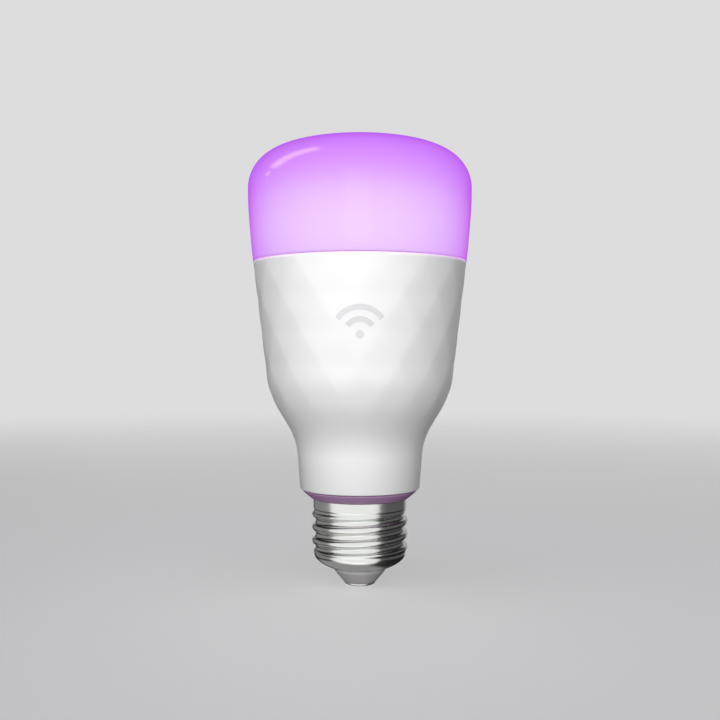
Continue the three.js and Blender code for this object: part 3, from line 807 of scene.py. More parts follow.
# ---- Inner pieces ----

UP_Y = Matrix.Rotation(math.radians(-90), 4, "X")  # turns a body's own Z to face +Y
DOWN_Y = Matrix.Rotation(math.radians(90), 4, "X")  # and to face -Y
LED_SIZE = (3.5, 2.8, 0.8)  # along the radius, across it, and up


def moved(x, y, z):
    """A shift, in millimetres."""
    return Matrix.Translation((x, y, z))


def middle_of(node):
    """The middle of a CAD node's box, in millimetres."""
    low, high = box_mm(node)
    return [(a + b) / 2 for a, b in zip(low, high)]


def smooth_path(points, steps=6):
    """A smooth line through points."""
    ends = [Vector(points[0]), *map(Vector, points), Vector(points[-1])]
    out = []
    for p0, p1, p2, p3 in zip(ends, ends[1:], ends[2:], ends[3:]):
        for step in range(steps):
            t = step / steps
            out.append((2 * p1 + (p2 - p0) * t + (2 * p0 - 5 * p1 + 4 * p2 - p3) * t * t
                        + (3 * p1 - p0 - 3 * p2 + p3) * t**3) / 2)
    return out + [ends[-1]]


class Part:
    """A mesh in the making, in millimetres. Each call adds a closed body, in the part's first finish or
    in one of its own, shifted and turned by at."""

    def __init__(self, finish=None):
        self.bm = bmesh.new()
        self.finishes = [finish]

    def add(self, bm, at=Matrix(), finish=None, flat_sides=False):
        """Takes a finished body in. Its level faces, and its upright ones if asked, are shaded flat."""
        finish = finish or self.finishes[0]
        if finish not in self.finishes:
            self.finishes.append(finish)
        bmesh.ops.recalc_face_normals(bm, faces=bm.faces)
        for face in bm.faces:
            face.material_index = self.finishes.index(finish)
            x, y, z = (abs(c) > 0.9999 for c in face.normal)
            face.smooth = not z and not (flat_sides and (x or y))
        bm.transform(at)
        mesh = bpy.data.meshes.new("body")
        bm.to_mesh(mesh)
        bm.free()
        self.bm.from_mesh(mesh)
        bpy.data.meshes.remove(mesh)

    def block(self, low, high, bevel=0.15, at=Matrix(), finish=None):
        """A block with rounded edges between two corners, given in any order."""
        low, high = zip(*(sorted(ends) for ends in zip(low, high)))
        bm = bmesh.new()
        bmesh.ops.create_cube(bm, size=1)
        bmesh.ops.scale(bm, vec=[b - a for a, b in zip(low, high)], verts=bm.verts)
        bmesh.ops.translate(bm, vec=[(a + b) / 2 for a, b in zip(low, high)], verts=bm.verts)
        bmesh.ops.bevel(bm, geom=bm.edges[:], offset=bevel, segments=3, profile=0.5, affect="EDGES")
        self.add(bm, at, finish, flat_sides=True)

    def prism(self, outline, low, high, bevel=0.1, at=Matrix(), finish=None):
        """An outline in X and Y raised from one height to another, with rounded edges."""
        bm = bmesh.new()
        face = bm.faces.new([bm.verts.new((x, y, low)) for x, y in outline])
        made = bmesh.ops.extrude_face_region(bm, geom=[face])
        raised = [v for v in made["geom"] if isinstance(v, bmesh.types.BMVert)]
        bmesh.ops.translate(bm, vec=(0, 0, high - low), verts=raised)
        bmesh.ops.bevel(bm, geom=bm.edges[:], offset=bevel, segments=2, profile=0.5, affect="EDGES")
        self.add(bm, at, finish, flat_sides=True)

    def turn(self, outline, columns=48, at=Matrix(), finish=None):
        """A turned body."""
        bm = bmesh.new()
        rings = []
        for r, z in outline:
            angles = round_angles(columns) if r > 1e-6 else [0]
            rings.append([bm.verts.new((r * math.cos(a), r * math.sin(a), z)) for a in angles])
        ring_grid(bm, rings)
        self.add(bm, at, finish)

    def tube(self, path, radius, sides=12, at=Matrix(), finish=None):
        """A round wire along a path, with domed ends."""
        bm = bmesh.new()
        path = [Vector(p) for p in path]
        normal = (path[1] - path[0]).orthogonal()
        rings = []
        for i, point in enumerate(path):
            ahead = (path[min(i + 1, len(path) - 1)] - path[max(i - 1, 0)]).normalized()
            normal = (normal - ahead * normal.dot(ahead)).normalized()
            side = ahead.cross(normal)
            rings.append([bm.verts.new(point + radius * (math.cos(a) * normal + math.sin(a) * side))
                          for a in round_angles(sides)])
        dome = radius * 0.35
        start = bm.verts.new(path[0] - (path[1] - path[0]).normalized() * dome)
        end = bm.verts.new(path[-1] + (path[-1] - path[-2]).normalized() * dome)
        ring_grid(bm, [[start], *rings, [end]])
        self.add(bm, at, finish)

    def sheet(self, outline, holes, low, high, bevel=0.08, at=Matrix(), finish=None):
        """A flat sheet with holes, cut from outlines in X and Y, with its edges broken."""
        curve = bpy.data.curves.new("sheet", "CURVE")
        curve.dimensions = "2D"
        curve.fill_mode = "BOTH"
        curve.extrude = (high - low) / 2 - bevel
        curve.bevel_depth = bevel
        curve.bevel_resolution = 1
        curve.offset = -bevel
        for loop in (outline, *holes):
            spline = curve.splines.new("POLY")
            spline.points.add(len(loop) - 1)
            spline.use_cyclic_u = True
            for point, (x, y) in zip(spline.points, loop):
                point.co = (x, y, 0, 1)
        pattern = bpy.data.objects.new("sheet", curve)
        mesh = bpy.data.meshes.new_from_object(pattern)
        bm = bmesh.new()
        bm.from_mesh(mesh)
        bmesh.ops.remove_doubles(bm, verts=bm.verts, dist=1e-4)
        bmesh.ops.translate(bm, vec=(0, 0, (low + high) / 2), verts=bm.verts)
        bpy.data.objects.remove(pattern)
        bpy.data.curves.remove(curve)
        bpy.data.meshes.remove(mesh)
        self.add(bm, at, finish)

    def build(self, name, node, slot=None):
        """Makes the piece that stands for a CAD node, or for none. slot is not used."""
        bmesh.ops.scale(self.bm, vec=(MM, MM, MM), verts=self.bm.verts)
        piece = finish_mesh(name, self.bm, [FINISH[key] for key in self.finishes], smooth_all=False)
        return place(piece, node)


def disc(x, y, radius, columns=32):
    """A circle's points."""
    return [(x + radius * math.cos(a), y + radius * math.sin(a)) for a in round_angles(columns)]


def oblong(x0, y0, x1, y1, radius=0):
    """A rectangle's points, with rounded corners if asked."""
    corners = [(x0, y0), (x1, y0), (x1, y1), (x0, y1)]
    return rounded(corners, {i: radius for i in range(4)}) if radius else corners


def round_z(degrees):
    """A turn about the upright axis."""
    return Matrix.Rotation(math.radians(degrees), 4, "Z")


# ---- LED engine ----

PIN_SIDE = 0.64
PIN_PITCH = 2.54
PINS = [(i - 2) * PIN_PITCH for i in range(5)]
RADIO_SLOT = oblong(-7.1, 4.6, 7.1, 6.6)
PIN_SLOT = oblong(-6.6, -1.6, 6.6, 1.6)
PLATE_FLOOR = 78.3  # the underside of the mounting plate inside its turned-down rim
LEDS = {  # how many of each kind, and the gel in their windows
    "warm_white": (6, "led_warm"), "cool_white": (6, "led_cool"), "red": (2, "led_red"),
    "green": (2, "led_green"), "blue": (2, "led_blue"),
}


def screw_places():
    """Where the LED board's screws stand."""
    return [middle_of(f"led_board_screw_{i}")[:2] for i in (1, 2, 3)]


def make_seal():
    """The silicone bead between the cover's skirt and the cup."""
    low, high = box_mm("diffuser_seal")
    outline = [(25.42, low[2]), (26.38, low[2]), (26.58, high[2]), (25.42, high[2])]
    bead = Part("silicone")
    bead.turn(rounded(outline, {0: 0.35, 1: 0.4, 2: 0.4, 3: 0.35}), 128)
    bead.build("seal_bead", "diffuser_seal")


def make_cup():
    """The spun liner that carries the heat into the housing's wall."""
    low, high = box_mm("heat_sink_cup")
    plain = straight(RIM, SHOULDER, 24) + blend_outline(24)
    wall = offset(plain, -WALL - 0.2)
    thick, seat, seat_radius, lip = 1.0, 76.3, 24.9, 15.2
    side = [p for p in wall if low[2] + 1 < p[1] < seat - 2]
    lowest = radius_at(wall, low[2])
    inner = [p for p in offset(wall, -thick) if low[2] + 2 < p[1] < seat - 2]
    outline = [(radius_at(wall, high[2]), high[2]), *side, (lowest, low[2]), (lip, low[2]),
               (lip, low[2] + thick), *inner[::-1], (seat_radius - thick, seat - 1),
               (seat_radius - thick, seat), (seat_radius, seat), (seat_radius, high[2])]
    foot = len(side) + 1
    last = len(outline) - 1
    corners = {0: 0.2, foot: 0.8, foot + 1: 0.3, foot + 2: 0.3, last - 1: 0.15, last: 0.2}
    cup = Part("spun_aluminium")
    cup.turn(rounded(outline, corners), 128)
    cup.build("spun_cup", "heat_sink_cup")


def make_engine_discs():
    """The plate, the thermal pad and the LED board, which share their slots and screw holes."""
    discs = (
        ("mounting_plate", "pressed_plate", "spun_aluminium", 24.6, 1.25, True, 0.15),
        ("thermal_pad", "heat_pad", "thermal_pad", 23.6, 1.7, True, 0.05),
        ("led_board", "led_board_panel", "white_circuit_board", 24.2, 1.35, False, 0.08),
    )
    for node, name, slot, radius, hole, has_slot, bevel in discs:
        low, high = box_mm(node)
        bottom = PLATE_FLOOR if node == "mounting_plate" else low[2]
        holes = [disc(x, y, hole) for x, y in screw_places()] + [RADIO_SLOT]
        if has_slot:
            holes.append(PIN_SLOT)
        else:
            holes += [oblong(x - 0.6, -0.6, x + 0.6, 0.6) for x in PINS]
        sheet = Part(slot)
        sheet.sheet(disc(0, 0, radius, 160), holes, bottom, high[2], bevel)
        if node == "mounting_plate":
            rim = [(23.4, low[2]), (24.5, low[2]), (24.5, bottom + 0.3), (23.4, bottom + 0.3)]
            sheet.turn(rounded(rim, {0: 0.3, 1: 0.3}), 128)
        sheet.build(name, node)


def make_led(node, name, gel):
    """An LED: a white case with a window of gel, and a solder fillet at both of its ends."""
    half_long, half_wide, tall = LED_SIZE[0] / 2, LED_SIZE[1] / 2, LED_SIZE[2]
    x, y, _ = middle_of(node)
    at = moved(x, y, box_mm(node)[0][2]) @ Matrix.Rotation(math.atan2(y, x), 4, "Z")
    led = Part("led_case")
    led.block((-half_long, -half_wide, 0), (half_long, half_wide, tall - 0.12), 0.1, at)
    rim_x, rim_y = half_long - 0.06, half_wide - 0.06
    window = oblong(-1.2, -1.05, 1.2, 1.05, 0.5)
    led.sheet(oblong(-rim_x, -rim_y, rim_x, rim_y, 0.3), [window], tall - 0.2, tall, 0.04, at)
    led.prism(window, tall - 0.16, tall - 0.05, 0.03, at, gel)
    for side in (-1, 1):
        tab = side * (half_long - 0.3), side * (half_long + 0.35)
        led.block((tab[0], -0.9, -0.03), (tab[1], 0.9, 0.16), 0.06, at, "solder")
    led.build(name, node, slot=gel)


def make_leds():
    """Every LED of every kind."""
    for kind, (count, gel) in LEDS.items():
        for number in range(1, count + 1):
            make_led(f"{kind}_led_{number}", f"{kind}_led_package_{number}", gel)


def make_board_screws():
    """Pan-head screws with a cross recess and a thread on the shank."""
    head, rise, shank, length = 2.1, 1.5, 1.1, 5.0
    steps = 40
    dome = [(head * math.cos(a), 0.5 + math.sin(a)) for a in (0.3, 0.6, 0.9, 1.2)]
    outline = [(0, 0), (head, 0), (head, 0.5), *dome, (0, rise)]
    thread = []
    for step in range(steps + 1):
        down = step / steps * (length - 0.7)
        thread.append((shank - 0.16 + 0.14 * (1 - abs((down / 0.5) % 1 * 2 - 1)), 0.05 - down))
    for number, (x, y) in enumerate(screw_places(), 1):
        node = f"led_board_screw_{number}"
        at = moved(x, y, box_mm(node)[1][2] - rise)
        body, recess, screw = Part(), Part(), Part("zinc_steel")
        body.turn(rounded(outline, {1: 0.12}, closed=False))
        for turn in (0, 90):
            recess.block((-1.15, -0.22, 0.75), (1.15, 0.22, 1.8), 0.05, round_z(turn))
        screw.add(cut_body(body.bm, recess.bm), at)
        screw.turn([(0, 0.05), *thread, (shank * 0.5, -length), (0, -length)], 24, at)
        screw.build(f"pan_head_screw_{number}", node)


def cut_body(body, cutter):
    """The first bmesh with the second cut out of it."""
    pieces = []
    for bm in (body, cutter):
        mesh = bpy.data.meshes.new("operand")
        bm.to_mesh(mesh)
        bm.free()
        piece = bpy.data.objects.new("operand", mesh)
        bpy.context.scene.collection.objects.link(piece)
        pieces.append(piece)
    cut = pieces[0].modifiers.new("cut", "BOOLEAN")
    cut.object = pieces[1]
    cut.operation = "DIFFERENCE"
    cut.solver = "EXACT"
    graph = bpy.context.evaluated_depsgraph_get()
    result = bpy.data.meshes.new_from_object(pieces[0].evaluated_get(graph))
    out = bmesh.new()
    out.from_mesh(result)
    for piece in pieces:
        mesh = piece.data
        bpy.data.objects.remove(piece)
        bpy.data.meshes.remove(mesh)
    bpy.data.meshes.remove(result)
    return out


def make_pin_header():
    """The strip of pins that carries the current up to the LED board, with its solder joints."""
    low, high = box_mm("led_header")
    board_top = box_mm("led_board")[1][2]
    half, block = PIN_SIDE / 2, PIN_PITCH / 2 - 0.02
    cone = [(0, 0.02), (1.0, 0.02), (0.62, 0.22), (0.42, 0.6), (0, 0.6)]
    header, joints = Part("black_plastic"), Part("solder")
    for x in PINS:
        header.block((x - block, -1.2, low[2]), (x + block, 1.2, low[2] + 2.4), 0.3)
        header.block((x - half, -half, low[2] + 1), (x + half, half, high[2]), 0.12, finish="gold_plate")
        joints.turn(cone, 24, moved(x, 0, board_top))
    header.build("pin_strip", "led_header")
    joints.build("pin_solder_joints", None, slot="zinc_steel")


# ---- Driver ----

BOARD_HALF = 0.8  # half the driver board's thickness
RADIO_HALF = 0.4  # and half the radio board's

# Where each piece's legs go through the driver board, as (x, z). FRONT's pieces are on its -Y side, and
# LEG_SIDES says the same of each leg: 1 is the +Y side.
LEGS = {
    "input_capacitor": [(-8.45, 50.6), (-5.95, 50.6)],
    "output_capacitor": [(-12.2, 55.6), (-10.2, 55.6)],
    "choke_core": [(-6.7, 33.6), (-3.7, 33.6)],
    "film_capacitor": [(2.7, 33.2), (7.7, 33.2)],
    "varistor": [(-7.5, 34.0), (-3.5, 34.0)],
    "bridge_rectifier": [(2.6, 34.4), (4.2, 34.4), (5.8, 34.4), (7.4, 34.4)],
    "transformer_bobbin": [(3.6, 54.4), (5.8, 54.4), (8.2, 54.4), (10.4, 54.4), (4.0, 69.8), (6.6, 69.8)],
}
FRONT = ("input_capacitor", "choke_core", "film_capacitor", "transformer_bobbin")
LEG_PLACES = [hole for holes in LEGS.values() for hole in holes]
LEG_SIDES = [-1 if node in FRONT else 1 for node, holes in LEGS.items() for _ in holes]
# The small resistors behind the board, as (x, z, stands upright).
SMALL_PARTS = [(-2.0, 49.0, True), (0.4, 49.0, True), (2.8, 49.0, True), (6.4, 52.6, False),
               (9.6, 52.6, False), (4.8, 60.6, True), (4.8, 64.0, True), (-4.6, 54.0, False),
               (-4.6, 56.2, False), (-1.0, 45.2, False), (9.8, 47.2, True)]


def make_sleeve():
    """The insulating tube round the driver, with the rails that hold the board."""
    low, high = box_mm("driver_sleeve")
    wall, wide, neck = 1.0, 19.4, 14.4
    outside = [(neck, low[2]), (neck, 43.5), (wide, 52.0), (wide, high[2])]
    inside = [(r - wall, z) for r, z in outside[::-1]]
    corners = {0: 0.2, 1: 3.0, 2: 3.0, 3: 0.3, 4: 0.3, 5: 2.4, 6: 3.0, 7: 0.2}
    sleeve = Part("sleeve_plastic")
    sleeve.turn(rounded(outside + inside, corners), 128)
    bore, edge = wide - wall, BOARD_HALF + 0.3
    for side in (-1, 1):
        for face in (-1, 1):
            sleeve.block((side * (bore - 2.4), face * edge, 53.0),
                         (side * (bore + 0.4), face * (edge + 1), high[2] - 0.5), 0.25)
    sleeve.build("driver_tube", "driver_sleeve")


def make_driver_board():
    """The driver board with its holes, and the solder joints and small parts on it."""
    low, high = box_mm("driver_board")
    right = [(12.6, low[2]), (12.6, 46.0), (17.2, 53.0), (17.2, high[2])]
    outline = right + [(-x, z) for x, z in right[::-1]]
    holes = [disc(x, z, 0.5, 16) for x, z in LEG_PLACES]
    panel, joints, chips = Part("green_circuit_board"), Part("solder"), Part("black_plastic")
    corners = {i: 0.6 for i in range(len(outline))}
    panel.sheet(rounded(outline, corners), holes, -BOARD_HALF, BOARD_HALF, 0.08, DOWN_Y)
    panel.build("driver_board_panel", "driver_board")

    cone = [(0, -0.01), (0.95, -0.01), (0.55, 0.2), (0.36, 0.62), (0, 0.66)]
    for (x, z), side in zip(LEG_PLACES, LEG_SIDES):
        turn = DOWN_Y if side > 0 else UP_Y
        joints.turn(cone, 20, moved(x, -side * BOARD_HALF, z) @ turn)
    joints.build("driver_solder_joints", None, slot="zinc_steel")

    foot = BOARD_HALF + 0.02
    for x, z, upright in SMALL_PARTS:
        at = moved(x, foot, z) @ Matrix.Rotation(math.radians(90 if upright else 0), 4, "Y")
        chips.block((-0.8, 0, -0.4), (0.8, 0.5, 0.4), 0.06, at)
        for way in (-1, 1):
            chips.block((way * 0.33, -0.01, -0.42), (way * 0.83, 0.53, 0.42), 0.06, at, "solder")
    chips.build("driver_chip_resistors", None)


def legs(part, node, radius):
    """Tinned legs from a part's foot, bent over and through the board."""
    low, high = box_mm(node)
    side = -1 if node in FRONT else 1
    y = (low[1] + high[1]) / 2
    through = -side * (BOARD_HALF + 0.5)
    for x, z in LEGS[node]:
        bend = [(x, y, low[2] + 0.4), (x, y, z + 0.7), (x, y - side * 0.5, z + 0.1),
                (x, side * (BOARD_HALF + 0.6), z), (x, 0, z), (x, through, z)]
        part.tube(smooth_path(bend, 4), radius, 10, finish="solder")


def make_capacitors():
    """The electrolytic capacitors: a shrink sleeve with the crimp, a scored lid and two legs each."""
    for node in ("input_capacitor", "output_capacitor"):
        low, high = box_mm(node)
        x, y, _ = middle_of(node)
        at = moved(x, y, low[2])
        radius, tall = (high[0] - low[0]) / 2, high[2] - low[2]
        lip, lid_radius = radius - 0.9, radius - 0.85
        outline = [
            (0, 0.25), (lip, 0.25), (radius - 0.7, 0), (radius, 0.1), (radius, 1.3),
            (radius * 0.9, 1.9), (radius, 2.5), (radius, tall), (lip, tall), (lip, tall - 0.25),
            (0, tall - 0.25)]
        corners = {3: 0.3, 4: 0.4, 5: 0.4, 6: 0.4, 7: 0.45, 8: 0.1}
        can, lid, score = Part("capacitor_sleeve"), Part(), Part()
        can.turn(rounded(outline, corners, closed=False), 64, at)
        lid_low, lid_high, half_score = tall - 0.4, tall - 0.12, radius * 0.6
        lid.turn([(0, lid_low), (lid_radius, lid_low), (lid_radius, lid_high), (0, lid_high)])
        for turn in (0, 60, 120):
            score.block((-half_score, -0.08, tall - 0.2), (half_score, 0.08, tall), 0.02, round_z(turn))
        can.add(cut_body(lid.bm, score.bm), at, "can_aluminium")
        legs(can, node, 0.3)
        can.build(f"{node}_can", node)


def make_choke():
    """The drum choke: a ferrite core and its winding, turn by turn."""
    x, y, _ = middle_of("choke_core")
    at = moved(x, y, box_mm("choke_core")[0][2])
    drum = [(0, 0), (3.6, 0), (3.6, 1.2), (1.8, 1.2), (1.8, 6.8), (3.6, 6.8), (3.6, 8), (0, 8)]
    corners = {1: 0.25, 2: 0.25, 3: 0.15, 4: 0.15, 5: 0.25, 6: 0.25}
    core, coil = Part("ferrite"), Part("copper")
    core.turn(rounded(drum, corners, closed=False), 64, at)
    legs(core, "choke_core", 0.28)
    core.build("drum_core", "choke_core")

    turns, steps, wire, pitch = 9, 32, 0.26, 0.54
    for radius in (2.15, 3.0):
        path = []
        for i in range(turns * steps + 1):
            angle = 2 * math.pi * i / steps
            path.append((radius * math.cos(angle), radius * math.sin(angle), 1.6 + i / steps * pitch))
        coil.tube(path, wire, 8, at)
    coil.turn([(2.1, 1.5), (2.85, 1.5), (2.85, 6.5), (2.1, 6.5)], 48, at)
    coil.build("choke_coil", "choke_winding")


def make_potted_block(node, name, finish, bevel, wire):
    """A potted block as large as its CAD node, on its legs."""
    potted = Part(finish)
    potted.block(*box_mm(node), bevel)
    legs(potted, node, wire)
    potted.build(name, node)


def make_potted_parts():
    """The film capacitor, the varistor and the bridge rectifier."""
    make_potted_block("film_capacitor", "film_capacitor_box", "film_yellow", 0.7, 0.3)

    low, high = box_mm("varistor")
    radius, half = (high[0] - low[0]) / 2, (high[1] - low[1]) / 2
    turns = [math.pi / 2 * (i / 10 - 1) for i in range(1, 20)]
    edge = [(radius - half + half * math.cos(a) ** 0.8, half * math.sin(a)) for a in turns]
    varistor = Part("varistor_blue")
    varistor.turn([(0, -half), *edge, (0, half)], 64, moved(*middle_of("varistor")) @ UP_Y)
    legs(varistor, "varistor", 0.3)
    varistor.build("varistor_disc", "varistor")

    make_potted_block("bridge_rectifier", "bridge_block", "black_plastic", 0.3, 0.25)


def make_surface_parts():
    """The driver chip with its gull-wing legs, and the output diode with its folded tabs."""
    low, high = box_mm("driver_chip")
    x, _, z = middle_of("driver_chip")
    chip = Part("black_plastic")
    chip.block((low[0], low[1] + 0.2, low[2]), high, 0.18)
    foot = BOARD_HALF + 0.12
    lead_pitch = 1.27
    for i in range(4):
        leg_x = x + (i - 1.5) * lead_pitch
        for side in (-1, 1):
            edge = z + side * (high[2] - low[2]) / 2
            run = [(leg_x, low[1] + 0.8, edge - side * 0.2), (leg_x, low[1] + 0.8, edge + side * 0.35),
                   (leg_x, foot, edge + side * 0.6), (leg_x, foot, edge + side * 1.1)]
            chip.tube(smooth_path(run, 4), 0.16, 8, finish="solder")
    dimple = moved(low[0] + 0.9, high[1] - 0.03, low[2] + 0.8) @ UP_Y
    chip.turn([(0, 0), (0.3, 0), (0.3, 0.06), (0, 0.06)], 24, dimple, "ferrite")
    chip.build("driver_chip_package", "driver_chip")

    low, high = box_mm("output_diode")
    diode = Part("black_plastic")
    diode.block((low[0], low[1] + 0.1, low[2]), high, 0.25)
    middle = (low[1] + high[1]) / 2
    bottom, top = low[2] + 0.7, high[2] - 0.7
    for side, edge in ((-1, low[0]), (1, high[0])):
        out = edge + side * 0.35
        upright = (edge - side * 0.1, BOARD_HALF + 0.03, bottom), (out, middle, top)
        folded = (edge - side, BOARD_HALF + 0.02, bottom), (out, low[1] + 0.2, top)
        diode.block(*upright, 0.1, finish="solder")
        diode.block(*folded, 0.06, finish="solder")
    diode.build("output_diode_package", "output_diode")


def make_transformer():
    """The transformer: two E cores, a bobbin with its pins, and the taped windings."""
    half, window, leg, back = 6.5, 4.0, 1.75, 2.4
    for node, name, up in (("transformer_core_lower", "lower_e_core", 1),
                           ("transformer_core_upper", "upper_e_core", -1)):
        low, high = box_mm(node)
        x, y, _ = middle_of(node)
        tall = high[2] - low[2]
        right = [(half, 0), (half, tall), (window, tall), (window, back), (leg, back), (leg, tall)]
        outline = [(px, up * pz) for px, pz in right + [(-px, pz) for px, pz in right[::-1]]]
        thick = (high[1] - low[1]) / 2
        core = Part("ferrite")
        base = low[2] if up > 0 else high[2]
        core.prism(outline, -thick, thick, 0.22, moved(x, y, base) @ DOWN_Y)
        core.build(name, node)

    low, high = box_mm("transformer_bobbin")
    x, y, z = middle_of("transformer_bobbin")
    at = moved(x, y, z)
    bobbin = Part("black_plastic")
    tall = (high[2] - low[2]) / 2
    bore = oblong(-1.9, -3.1, 1.9, 3.1)
    flange = oblong(-3.8, -5.4, 3.8, 5.4, 0.6)
    bobbin.sheet(flange, [bore], -tall, 0.6 - tall, 0.08, at)
    bobbin.sheet(flange, [bore], tall - 0.6, tall, 0.08, at)
    bobbin.sheet(oblong(-2.3, -3.5, 2.3, 3.5, 0.3), [bore], 0.55 - tall, tall - 0.55, 0.05, at)
    for leg_x, leg_z in LEGS["transformer_bobbin"]:
        edge = low[2] + 0.3 if leg_z < z else high[2] - 0.3
        run = [(leg_x, y + 5.0, edge), (leg_x, -BOARD_HALF - 0.8, (edge + leg_z) / 2),
               (leg_x, -BOARD_HALF - 0.1, leg_z), (leg_x, 0, leg_z), (leg_x, BOARD_HALF + 0.5, leg_z)]
        bobbin.tube(smooth_path(run, 4), 0.28, 10, finish="solder")
    bobbin.build("bobbin", "transformer_bobbin")

    low, high = box_mm("transformer_winding")
    tall = (high[2] - low[2]) / 2
    bore = oblong(-2.4, -3.6, 2.4, 3.6)
    winding = Part("winding_tape")
    for reach, bottom, top in ((3.6, -tall, tall), (3.52, 0.1 - tall, tall - 0.1)):
        wound = oblong(-reach, -reach - 1.5, reach, reach + 1.5, 1.1)
        winding.sheet(wound, [bore], bottom, top, 0.12, at)
    winding.build("taped_winding", "transformer_winding")


def make_radio():
    """The radio board with its edge pads, its shield can, its printed antenna and its socket."""
    low, high = box_mm("wifi_board")
    y = (low[1] + high[1]) / 2
    outline = oblong(low[0], low[2], high[0], high[2], 0.4)
    board = Part("green_circuit_board")
    board.sheet(outline, [], -RADIO_HALF, RADIO_HALF, 0.05, moved(0, y, 0) @ DOWN_Y)
    pads, lowest, pitch, pad_tall = 8, 60.5, 1.9, 1.1
    front, back = y - RADIO_HALF - 0.03, y + RADIO_HALF + 0.03
    for i in range(pads):
        z = lowest + i * pitch
        for side in (-1, 1):
            inner, outer = side * (high[0] - 0.75), side * (high[0] + 0.02)
            board.block((inner, front, z), (outer, back, z + pad_tall), 0.03, finish="gold_plate")
    board.build("radio_board", "wifi_board")

    low, high = box_mm("wifi_shield")
    can = Part("zinc_steel")
    can.block(low, (high[0], high[1] - 0.15, high[2]), 0.3)
    lid = oblong(low[0] + 0.35, low[2] + 0.35, high[0] - 0.35, high[2] - 0.35, 0.8)
    vents = [disc(x, z, 0.45, 20) for x in (-3.4, 3.4) for z in (63.2, 71.8)]
    can.sheet(lid, vents, -0.15, 0.1, 0.05, moved(0, high[1] - 0.1, 0) @ DOWN_Y)
    can.build("shield_can", "wifi_shield")
    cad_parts["wifi_antenna"].data.materials[0] = FINISH["gold_plate"]

    low, high = box_mm("wifi_header")
    socket = Part("black_plastic")
    pin_low, pin_high = 59.45, 59.95
    for x in (-4, -2, 0, 2, 4):
        pin = (x - 0.25, low[1] - 1.6, pin_low), (x + 0.25, high[1] + 0.6, pin_high)
        socket.block((x - 0.98, low[1], low[2]), (x + 0.98, high[1], high[2]), 0.25)
        socket.block(*pin, 0.06, finish="gold_plate")
    socket.build("radio_socket", "wifi_header")


# ---- Wiring in the screw base ----


def make_fuse():
    """The fusible resistor: a cement body with plated end caps and plain colour bands."""
    low, high = box_mm("fuse_resistor")
    tall = high[2] - low[2]
    at = moved(0, 0, low[2])
    radius = (high[0] - low[0]) / 2
    cap, waist = radius - 0.2, radius - 0.35
    body = [(0, 0), (cap, 0), (cap, 1.2), (waist, 1.6), (waist, tall - 1.6), (cap, tall - 1.2), (cap, tall),
            (0, tall)]
    fuse = Part("fuse_ceramic")
    fuse.turn(rounded(body, {1: 0.5, 2: 0.3, 3: 0.3, 4: 0.3, 5: 0.3, 6: 0.5}, closed=False), 48, at)
    for z, wide, reach, finish in (
            (0.15, 0.9, radius - 0.02, "solder"), (tall - 1.05, 0.9, radius - 0.02, "solder"),
            (2.6, 0.5, radius - 0.28, "black_plastic"), (3.7, 0.5, radius - 0.28, "wire_red")):
        band = [(reach - 0.5, z), (reach, z), (reach, z + wide), (reach - 0.5, z + wide)]
        fuse.turn(rounded(band, {1: 0.08, 2: 0.08}), 48, at, finish)
    fuse.build("cement_fuse", "fuse_resistor")


def make_wires():
    """The wires of the screw base, with bared and tinned ends."""
    solder_y = -BOARD_HALF - 0.7
    runs = (
        ("fuse_lead", "sleeved_fuse_lead", "wire_red", 0.56, [(0, 0, 9.4), (0, 0, 11), (0, 0, 12.4)]),
        ("live_wire", "live_lead", "wire_red", 0.58,
         [(0, 0, 20.6), (0, 0, 23), (-0.6, -1.2, 28), (-1, solder_y, 32), (-1, solder_y, 33.6)]),
        ("neutral_wire", "neutral_lead", "wire_white", 0.58,
         [(8.9, 0, 12), (8.9, 0, 17), (7.6, -0.8, 23), (2, solder_y, 30), (0.6, solder_y, 32),
          (0.6, solder_y, 33.6)]),
        ("neutral_tail", "tinned_tail", "copper", 0.22,
         [(8.9, 0, 11.9), (8.9, 0, 9.9), (9.4, 0, 9.1), (10.8, 0, 9.1), (11.35, 0, 9.9), (11.35, 0, 12),
          (11.35, 0, 15)]),
    )
    for node, name, slot, radius, points in runs:
        wire = Part(slot)
        wire.tube(smooth_path(points, 8), radius, 16)
        if node in ("live_wire", "neutral_wire"):
            x, y, z = points[-1]
            wire.tube([(x, y, z - 0.3), (x, y, z + 0.4)], 0.26, 12, finish="solder")
        wire.build(name, node)


def make_inside():
    """Everything behind the skin."""
    make_inner_finishes()
    for make in (
            make_seal, make_cup, make_engine_discs, make_leds, make_board_screws, make_pin_header,
            make_sleeve, make_driver_board, make_capacitors, make_choke, make_potted_parts,
            make_surface_parts, make_transformer, make_radio, make_fuse, make_wires):
        make()


# ---- Stage and light ----

PALE = (0.80, 0.80, 0.81)


